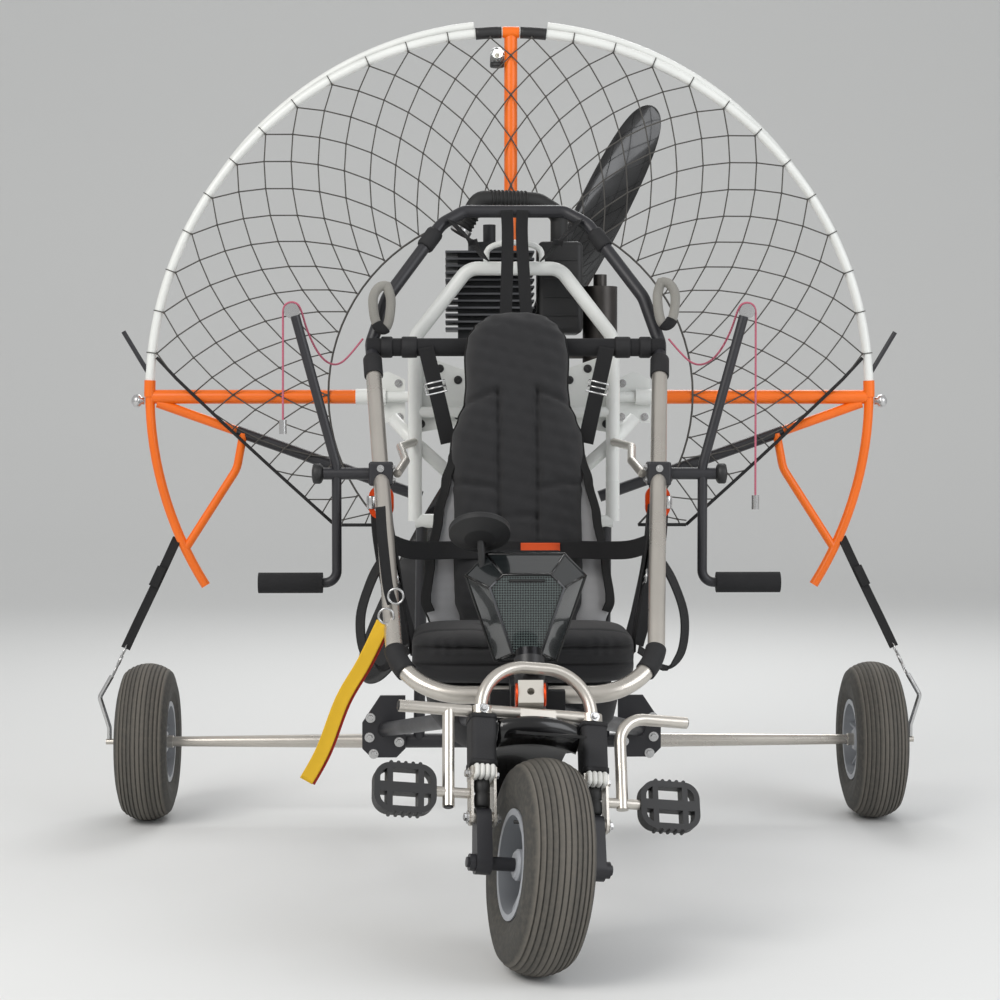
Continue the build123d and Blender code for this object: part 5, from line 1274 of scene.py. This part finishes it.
def cushion_shape(x, y, up):
    """Sides pull in, a seam runs behind the rolled front, and soft channels cross the roll."""
    waist = 1 - 0.05 * (1 - abs(up)) * (1 - x * x)
    dent = 0.12 * groove(y + 0.45, 0.06) + 0.05 * groove(abs(x) - 0.36, 0.04) * (y < 0.2)
    gather = 0.05 * math.sin(x * 34 + 2 * math.sin(x * 7)) * max(-y - 0.35, 0) * (1 - x * x)
    roll = 1
    if y < -0.5:
        ripple = 0.012 * math.sin(x * 46 + 3 * math.sin(x * 9)) * (0.5 < up + 0.3 < 1.1)
        roll = 1 - 0.07 * groove(up - 0.45, 0.09) - 0.06 * groove(up + 0.2, 0.09) - ripple * (1 - x**4)
    sag = 0.03 * (1 - x * x) * max(y + 0.45, 0)
    if up > 0:
        return x * waist, y * roll, up * (1 - dent - sag + gather)
    return x * waist, y * roll, up + 0.03 * math.sin(x * 9) * (1 - abs(y))


def bag_shape(x, y, up):
    """A slack bag: full above, drawn in and rippled towards its bottom."""
    taper = 1 - 0.12 * (1 - up) - 0.16 * max(-up, 0) + 0.03 * math.sin(x * 11 + y * 4) * (1 - abs(up))
    return x * taper, y * taper, up * (1 - 0.08 * math.sin(x * 5) * max(-up, 0)) - 0.02 * (1 - abs(up))


cushion = pillow("seat_cushion_pad", (-CUSHION_HALF_W, CUSHION_FRONT, CUSHION_LOW),
                 (CUSHION_HALF_W, CUSHION_BACK - 0.002, CUSHION_TOP), 0.34, cushion_shape, 192, 36,
                 seat_cloth, ("seat_cushion",))
bag = pillow("seat_bag_sack", BAG_LOW, BAG_HIGH, 0.42, bag_shape, 96, 36, seat_cloth,
             ("seat_bag",))

# Webbing: flat woven straps hold the seat between ring and bars, with steel ladder buckles. The
# waist belt crosses the back and carries a plain orange tag.
STRAP_T = 0.0022
# Straps on both sides: name, width, direction across, points from the top down
SIDE_STRAPS = (
    ("shoulder_strap", 0.030, (1, 0, 0),
     ((0.176, -0.338, 0.985), (0.165, -0.355, 0.940), (0.148, -0.372, 0.870), (0.132, -0.386, 0.800))),
    ("crown_strap", 0.024, (1, 0, 0),
     ((0.016, -0.2205, 1.262), (0.014, -0.232, 1.215), (0.017, -0.282, 1.120), (0.020, -0.318, 1.052),
      (0.020, -0.340, 1.035))),
    ("bar_strap", 0.024, (0.8, 0, 0.6),
     ((0.128, -0.228, 1.241), (0.105, -0.250, 1.215), (0.080, -0.262, 1.190), (0.060, -0.215, 1.166))),
    ("riser_strap", 0.040, (1, 0.25, 0),
     ((0.2555, -0.5495, 0.672), (0.252, -0.556, 0.630), (0.240, -0.570, 0.560), (0.222, -0.592, 0.490),
      (0.206, -0.604, 0.436))),
    ("link_strap", 0.030, (1, 0, 0),
     ((0.2555, -0.5355, 0.738), (0.2555, -0.5335, 0.724), (0.2555, -0.5342, 0.708))),
    ("thigh_loop", 0.030, (0.5, 0.8, 0),
     ((0.246, -0.640, 0.600), (0.268, -0.690, 0.560), (0.286, -0.722, 0.500), (0.280, -0.742, 0.440),
      (0.252, -0.760, 0.412), (0.222, -0.770, 0.430), (0.2005, -0.772, 0.445))),
    ("leg_strap", 0.028, (0, 1, 0.3),
     ((0.252, -0.592, 0.690), (0.238, -0.622, 0.640), (0.221, -0.655, 0.560), (0.204, -0.688, 0.470),
      (0.1995, -0.700, 0.430))),
)
BELT_W = 0.034
BELT = ((-0.243, -0.655, 0.628), (-0.205, -0.560, 0.606), (-0.158, -0.495, 0.600), (-0.118, -0.4812, 0.600),
        (0.0, -0.4826, 0.600), (0.118, -0.4812, 0.600), (0.158, -0.495, 0.600), (0.205, -0.560, 0.606),
        (0.243, -0.655, 0.628))
TAG = (0.0045, 0.078)

belt_cloth = woven("belt_webbing", "18181A", 700.0, 0.7, 0.3, roughness=0.7)
tag_cloth = woven("orange_tag", "E0531C", 600.0, 0.5, 0.15, roughness=0.7)


def smooth_line(points, steps=6):
    """Points along a soft curve through the given ones."""
    line = []
    for index in range(len(points) - 1):
        p0 = points[max(index - 1, 0)]
        p1, p2 = points[index], points[index + 1]
        p3 = points[min(index + 2, len(points) - 1)]
        for k in range(steps):
            t = k / steps
            line.append(0.5 * (2 * p1 + (p2 - p0) * t + (2 * p0 - 5 * p1 + 4 * p2 - p3) * t**2
                               + (3 * p1 - p0 - 3 * p2 + p3) * t**3))
    return line + [points[-1]]


def add_band(shell, line, width, across, thick=STRAP_T):
    """Add a flat woven band along a line to a shell, with a raised selvedge at both edges."""
    section = ((-0.5, -0.5), (-0.5, 0.5), (-0.42, 0.62), (-0.34, 0.42), (0.34, 0.42), (0.42, 0.62),
               (0.5, 0.5), (0.5, -0.5), (0.42, -0.62), (0.34, -0.42), (-0.34, -0.42), (-0.42, -0.62))
    rings = []
    for index, point in enumerate(line):
        along = (line[min(index + 1, len(line) - 1)] - line[max(index - 1, 0)]).normalized()
        side = (Vector(across) - along * Vector(across).dot(along)).normalized()
        face = along.cross(side)
        rings.append([shell.verts.new(point + side * width * u + face * thick * v) for u, v in section])
    count = len(section)
    for first, last in zip(rings, rings[1:]):
        for k in range(count):
            shell.faces.new((first[k], first[(k + 1) % count], last[(k + 1) % count], last[k]))
    shell.faces.new(list(reversed(rings[0])))
    shell.faces.new(rings[-1])


def bands(name, rows, finish, replaces=()):
    """One piece made of several bands; rows are (line, width, across)."""
    shell = bmesh.new()
    for line, width, across in rows:
        add_band(shell, line, width, across)
    return shell_object(name, shell, "chassis", finish, replaces)


def add_buckle(shell, place, width, height, wire):
    """Add a ladder buckle of bent wire with a middle bar; its Y axis runs across the strap."""
    half_w, half_h = width / 2, height / 2
    corners = [(-half_h, -half_w), (-half_h, half_w), (half_h, half_w), (half_h, -half_w)]
    add_tube(shell, [place @ Vector((0, y, z)) for z, y in corners], wire, 8, closed=True)
    add_tube(shell, [place @ Vector((0, y, 0)) for y in (-half_w, half_w)], wire, 8)


strap_rows = []
buckle_shell = bmesh.new()
for side in (-1, 1):
    for name, width, across, points in SIDE_STRAPS:
        spread = (side * across[0], across[1], across[2])
        line = smooth_line([at(side * x, y, z) for x, y, z in points])
        strap_rows.append((line, width, spread))
        if name in ("shoulder_strap", "leg_strap"):
            middle = len(line) // 2
            along = line[middle + 1] - line[middle - 1]
            face = along.cross(Vector(spread))
            add_buckle(buckle_shell, axis_place(line[middle], face, along), width + 0.010, 0.022, 0.0022)
bands("harness_straps", strap_rows, belt_cloth)
shell_object("strap_buckles", buckle_shell, "chassis", bolt_steel)
belt_line = smooth_line([at(*p) for p in BELT])
bands("waist_belt", [(belt_line, BELT_W, lean_up)], belt_cloth)
tag_line = [at(x, -0.4846, 0.6005) for x in (TAG[0] - 0.0005, TAG[0] + 0.02, TAG[0] + 0.05, TAG[1])]
bands("belt_tag", [(tag_line, 0.026, lean_up)], tag_cloth)
edge_rows = []
for side in (-1, 1):
    heights = [WING_TOP - 0.012 + (BACK_LOW + 0.03 - WING_TOP) * k / 20 for k in range(21)]
    line = [on_back(side * (width_at(WING_WIDTHS, h) - 0.008), h,
                    0.016 + 0.022 * ends(h, WING_TOP, BACK_LOW, 0.05)) for h in heights]
    edge_rows.append((line, WING_EDGE_W, Vector((side, 0, 0)) - lean_out * 0.9))
bands("wing_binding", edge_rows, binding)
hanger_rows = []
for side in (-1, 1):
    for y, x_high, z_high in ((-0.640, 0.232, 0.655), (-0.560, 0.238, 0.690)):
        points = [at(side * x_high, y, z_high), at(side * (x_high - 0.012), y - 0.004, 0.58),
                  at(side * 0.206, y - 0.002, 0.48), at(side * 0.1985, y, 0.421)]
        hanger_rows.append((smooth_line(points), 0.032, (0, 1, 0)))
bands("seat_hangers", hanger_rows, belt_cloth, ("seat_straps",))

# Hang points and brake levers: black clamp blocks with turning knobs, orange anodised carabiners,
# bent lever bars with foam grips, and a soft loop handle parked on each side of the roll bar.
HANG = (0.2555, -0.5598, 0.7459)
HANG_FACE = 0.0222
HANG_BOLT = 0.012
HANG_BOLT_RISE = 0.010
KNOB_X = 0.3612
GRIP = ((0, 0.0001), (0, 0.010), (0.003, 0.017), (0.006, 0.0195), (0.016, 0.0195), (0.019, 0.017),
        (0.021, 0.008), (0.021, 0.0001))
GATE_SLEEVE = ((-0.012, 0.0060), (0.012, 0.0060), (0.012, 0.0085), (0.010, 0.0092), (-0.010, 0.0092),
               (-0.012, 0.0085))
LINK_W = 0.046
LINK_MID = (0.2555, -0.5448, 0.6926)
# Loop handle: points of its closed line on the right side
LOOP = ((0.252, -0.303, 1.106), (0.267, -0.306, 1.102), (0.278, -0.312, 1.082), (0.276, -0.318, 1.048),
        (0.268, -0.322, 1.026), (0.255, -0.322, 1.022), (0.247, -0.318, 1.040), (0.244, -0.310, 1.078))
LOOP_R = 0.0095
LOOP_WRAP = (22, 32)
# How each side's loop hangs away from that line
LOOP_SHIFT = {-1: (0, -0.012, 0), 1: (0.032, -0.012, 0.008)}

loop_cloth = woven("loop_handle", "9C9A94", 300.0, 0.8, 0.45, roughness=0.7)
dress(black_coat, "hang_blocks", "lever_arms")
dress(orange_metal, "carabiners")
dress(bolt_steel, "lever_pulleys", "cord_snaps")
hang_bolts = []
for side in (-1, 1):
    spot = axis_place(at(side * KNOB_X, HANG[1], HANG[2]), (1, 0, 0))
    turned("pivot_knob_%d" % side, GRIP, spot, 10, "chassis", black_plastic, way=side)
    for z in (HANG_BOLT, -HANG_BOLT):
        for y in (-HANG_BOLT, HANG_BOLT):
            spot = at(side * (HANG[0] - HANG_FACE), HANG[1] + y, HANG[2] + z)
            hang_bolts.append((spot, (-side, 0, 0), 0.006, 0.004))
    for z in (HANG_BOLT_RISE, -HANG_BOLT_RISE):
        hang_bolts.append((at(side * HANG[0], HANG[1] - HANG_FACE, HANG[2] + z), (0, -1, 0), 0.007, 0.005))
    gate_at = at(side * (LINK_MID[0] + LINK_W / 2 - 0.005), LINK_MID[1], LINK_MID[2])
    turned("gate_sleeve_%d" % side, GATE_SLEEVE, axis_place(gate_at, (0, 0, 1), (0, 1, 0)), 24, "chassis",
           bolt_steel)
    loop = smooth_line([at(side * x, y, z) for x, y, z in LOOP + LOOP[:1]])[:-1]
    loop = [point + Vector(LOOP_SHIFT[side]) for point in loop]
    tubes("loop_handle_%d" % side, [loop], LOOP_R, "chassis", loop_cloth, 14, closed=True)
    wrap_line = loop[LOOP_WRAP[0]:LOOP_WRAP[1]]
    tubes("loop_wrap_%d" % side, [wrap_line], LOOP_R + 0.002, "chassis", belt_cloth, 14)
bolts("hang_bolts", "chassis", hang_bolts)

# Stay straps from the cage legs to the axle hooks: black webbing with a steel snap hook, and the
# yellow pull ribbon with its red backing, tied to a ring on the left of the frame.
HOOK_TIP = (0.842, 0.0, 0.303)
STAY_LOW_SHARE = 0.80
STAY_TURN = math.radians(113)
PULL_TOP = (-0.243, -0.828, 0.498)
PULL_END = (-0.376, -0.828, 0.225)
PULL_W = 0.024

yellow_cloth = woven("yellow_ribbon", "E8B91C", 500.0, 0.4, 0.12, roughness=0.6)
red_cloth = woven("red_ribbon", "B02218", 500.0, 0.4, 0.15, roughness=0.6)
stay_rows = []
hook_shell = bmesh.new()
for side in (-1, 1):
    top = Vector((side * (HOOP_R * math.sin(STAY_TURN) + 0.0045), CAGE_Y + AXLE_Y,
                  CAGE_Z + (HOOP_R + 0.0115) * math.cos(STAY_TURN)))
    end = at(side * HOOK_TIP[0], *HOOK_TIP[1:])
    flat = Vector((side * 0.8, 0.6, 0.3))
    strap_end = top.lerp(end, STAY_LOW_SHARE)
    line = smooth_line([top, top.lerp(end, 0.3) + Vector((0, 0.002, -0.001)), top.lerp(end, 0.6), strap_end])
    stay_rows.append((line, 0.024, flat))
    stay_rows.append(([top.lerp(end, 0.22) + Vector((side * 0.002, 0, 0.002)),
                       top.lerp(end, 0.36) + Vector((side * 0.002, 0, 0.002))], 0.025, flat))
    along = (end - top).normalized()
    for share, half in ((0.815, 0.008), (0.955, 0.010)):
        middle = top.lerp(end, share)
        ring = [middle + Vector((0, 0.011 * math.cos(t), 0)) + along * (half * 1.6 * math.sin(t))
                for t in turns(20)]
        add_tube(hook_shell, ring, 0.0019, 8, closed=True)
    add_tube(hook_shell, [top.lerp(end, 0.85), top.lerp(end, 0.915)], 0.0036, 10)
bands("stay_webbing", stay_rows, belt_cloth, ("stay_straps",))
shell_object("stay_hooks", hook_shell, "chassis", bolt_steel)
pull_top, pull_end = at(*PULL_TOP), at(*PULL_END)
pull_along = (pull_end - pull_top).normalized()
pull_side = pull_along.cross(Vector((0, 1, 0)))
pull_mid = pull_top.lerp(pull_end, 0.5) + Vector((-0.004, -0.006, 0.004))
yellow_line = smooth_line([pull_top, pull_top.lerp(pull_end, 0.25) + Vector((0, -0.003, 0)), pull_mid,
                           pull_top.lerp(pull_end, 0.8) + Vector((0.003, 0.002, 0)), pull_end])
bands("pull_ribbon", [(yellow_line, PULL_W, pull_side)], yellow_cloth, ("pull_strap",))
red_line = [point + pull_side * 0.007 + Vector((0, 0.0045, 0)) for point in yellow_line[2:]]
bands("ribbon_backing", [(red_line, PULL_W * 0.8, pull_side)], red_cloth)
ring_shell = bmesh.new()
for drop in (0.012, 0.050):
    middle = pull_top - pull_along * drop
    add_tube(ring_shell, [middle + pull_side * 0.013 * math.cos(t) + pull_along * 0.013 * math.sin(t)
                          for t in turns(24)], 0.0022, 8, closed=True)
shell_object("ribbon_rings", ring_shell, "chassis", bolt_steel)
tie_line = smooth_line([pull_top - pull_along * 0.036, at(-0.236, -0.800, 0.560), at(-0.247, -0.742, 0.640),
                        at(-0.252, -0.690, 0.690)])
bands("ribbon_tie", [(tie_line, 0.018, (1, 0, 0.2))], belt_cloth)

# Front pod and mirror: a faceted shell of gloss carbon twill with a rolled rim and a perforated
# front panel, on a post from the ring's foot, and a small round mirror on a stalk.
MIRROR_AT = (-0.078, -0.880, 0.655)
MIRROR_TILT = math.radians(142)
MIRROR_R = 0.052
MIRROR_T = 0.008
GLASS = ((0, 0.0001), (0, MIRROR_R - 0.004), (0.0012, MIRROR_R - 0.005), (0.0016, 0.0001))
MIRROR_LIP = ((-0.001, MIRROR_R + 0.0004), (0.002, MIRROR_R + 0.0004), (0.003, MIRROR_R - 0.002),
              (0.002, MIRROR_R - 0.004), (-0.001, MIRROR_R - 0.003))
# Pod sections: y, half widths at the top, waist and foot, heights at the top, waist and foot
POD = ((-0.872, 0.066, 0.102, 0.052, 0.618, 0.582, 0.436),
       (-0.935, 0.040, 0.062, 0.024, 0.588, 0.566, 0.456))
# Where the pod's front ends and its plain sides begin, by the way the surface faces
FACING_SPAN = (-0.95, -0.85)

carbon, carbon_tree, carbon_shader = material_with("carbon_twill", roughness=0.16, coat_weight=0.7)
twill_turn = add_node(carbon_tree, "ShaderNodeMapping", {
    "Vector": object_place(carbon_tree), "Rotation": (0, math.pi / 4, 0)})
twill_tile = add_node(carbon_tree, "ShaderNodeTexChecker", {
    "Vector": twill_turn.outputs["Vector"], "Scale": 330.0, "Color1": rgb("1C2021"), "Color2": rgb("56605F")})
twill_fibre = add_node(carbon_tree, "ShaderNodeTexWave", {
    "Vector": twill_turn.outputs["Vector"], "Scale": 700.0, "Distortion": 0.3})
twill_mix = add_node(carbon_tree, "ShaderNodeMixRGB", {
    "Fac": 0.35, "Color1": twill_tile.outputs["Color"], "Color2": twill_fibre.outputs["Color"]},
    blend_type="MULTIPLY")
twill_facing = add_node(carbon_tree, "ShaderNodeSeparateXYZ", {
    "Vector": add_node(carbon_tree, "ShaderNodeTexCoord").outputs["Normal"]}).outputs["Y"]
twill_bump = add_node(carbon_tree, "ShaderNodeBump", {
    "Height": twill_tile.outputs["Fac"], "Distance": 0.0004,
    "Strength": map_range(carbon_tree, twill_facing, FACING_SPAN, (0.12, 0.0))})
carbon_tree.links.new(twill_mix.outputs["Color"], carbon_shader.inputs["Base Color"])
carbon_tree.links.new(twill_bump.outputs["Normal"], carbon_shader.inputs["Normal"])
repaint(carbon_tree, carbon_shader, map_range(carbon_tree, twill_facing, FACING_SPAN, (0.0, 0.88)), "15181A")
dress(carbon, "front_pod")
dress(black_plastic, "mirror")


def pod_corners(row):
    """The six corners of a section of the pod, from the top left to the right and round."""
    y, top_w, waist_w, foot_w, top_z, waist_z, foot_z = row
    return [at(x, y, z) for x, z in ((-top_w, top_z), (top_w, top_z), (waist_w, waist_z), (foot_w, foot_z),
                                     (-foot_w, foot_z), (-waist_w, waist_z))]


pod_rims = [pod_corners(row) for row in POD]
rim_shell = bmesh.new()
for rim in pod_rims:
    add_tube(rim_shell, rim, 0.0026, 8, closed=True)
for near, far in zip(*pod_rims):
    add_tube(rim_shell, [near, far], 0.0022, 8)
shell_object("pod_rims", rim_shell, "chassis", gloss_black)
front = pod_rims[1]
# Bright tubes down both sides of the front panel are painted highlights along the pod's front edges.
highlight_lines = [[front[1].lerp(front[2], 0.5), front[2], front[3]],
              [front[0].lerp(front[5], 0.5), front[5], front[4]]]
highlight_lines = [[point + Vector((0, -0.0022, 0)) for point in line] for line in highlight_lines]
tubes("pod_edge_highlights", highlight_lines, 0.0021, "chassis", machined_and_highlight, 8)
# A dark tube along the top of the front panel is painted shade for the slot's dark opening.
slot_shade_line = [front[0].lerp(front[1], k / 8) + Vector((0, -0.0015, -0.010)) for k in (1, 3, 5, 7)]
tubes("pod_slot_shade", [slot_shade_line], 0.0024, "chassis", black_rubber, 8)
mirror_out = Vector((0, math.sin(MIRROR_TILT), -math.cos(MIRROR_TILT)))
glass_spot = axis_place(at(*MIRROR_AT) + mirror_out * (MIRROR_T / 2 + 0.0002), mirror_out, (1, 0, 0))
mirror_glass = grained("mirror_glass", "DDE2E4", 0.08, drift=0.02, grain=100.0, depth=0.0, metallic=1.0)[0]
turned("mirror_glass", GLASS, glass_spot, 48, "chassis", mirror_glass)
turned("mirror_lip", MIRROR_LIP, glass_spot, 48, "chassis", black_plastic)

# Brake cords: pink braided line, slack from the cross bar's end up to the lever's pulley, over it
# and straight down to a small snap. The route is the same on both sides, apart from its end.
CORD_ROUTE = ((0.299, -0.318, 1.002), (0.320, -0.346, 0.972), (0.340, -0.390, 0.950), (0.358, -0.440, 0.950),
              (0.375, -0.490, 0.968), (0.392, -0.534, 1.008), (0.402, -0.560, 1.051), (0.4114, -0.560, 1.060),
              (0.4246, -0.560, 1.060), (0.434, -0.560, 1.051))
CORD_NEAR_END = (0.4342, -0.560, 1.027)
# Ends of the cords: side, sign of x, height of the free end, length of the cord
CORD_ENDS = (("left", -1, 0.845, 0.56), ("right", 1, 0.706, 0.70))
CORD_X_END = 0.435
CORD_D = 0.004

cord_finish, cord_tree, cord_shader = material_with("pink_braid", roughness=0.7)
cord_wave = add_node(cord_tree, "ShaderNodeTexWave", {
    "Vector": object_place(cord_tree), "Scale": 260.0, "Distortion": 2.0}, bands_direction="DIAGONAL")
cord_mix = add_node(cord_tree, "ShaderNodeMixRGB", {
    "Fac": cord_wave.outputs["Fac"], "Color1": rgb("8E3346"), "Color2": rgb("D0788E")})
cord_bump = add_node(cord_tree, "ShaderNodeBump", {
    "Height": cord_wave.outputs["Fac"], "Strength": 0.4, "Distance": 0.0004})
cord_tree.links.new(cord_mix.outputs["Color"], cord_shader.inputs["Base Color"])
cord_tree.links.new(cord_bump.outputs["Normal"], cord_shader.inputs["Normal"])
for side, sign, end_z, cord_length in CORD_ENDS:
    route = [at(sign * x, y, z) for x, y, z in CORD_ROUTE + (CORD_NEAR_END,)]
    route.append(at(sign * CORD_X_END, CORD_ROUTE[-1][1], end_z))
    line = bpy.data.curves.new("brake_line_" + side, "CURVE")
    line.dimensions = "3D"
    line.bevel_depth = CORD_D / 2
    line.bevel_resolution = 3
    line.resolution_u = 8
    spline = line.splines.new("NURBS")
    spline.points.add(len(route) - 1)
    for spot, point in zip(spline.points, route):
        spot.co = (*point, 1)
    spline.order_u = 3
    spline.use_endpoint_u = True
    cord_piece = add_object("brake_line_" + side, line, "chassis", cord_finish,
                            ("brake_cord_" + side,))
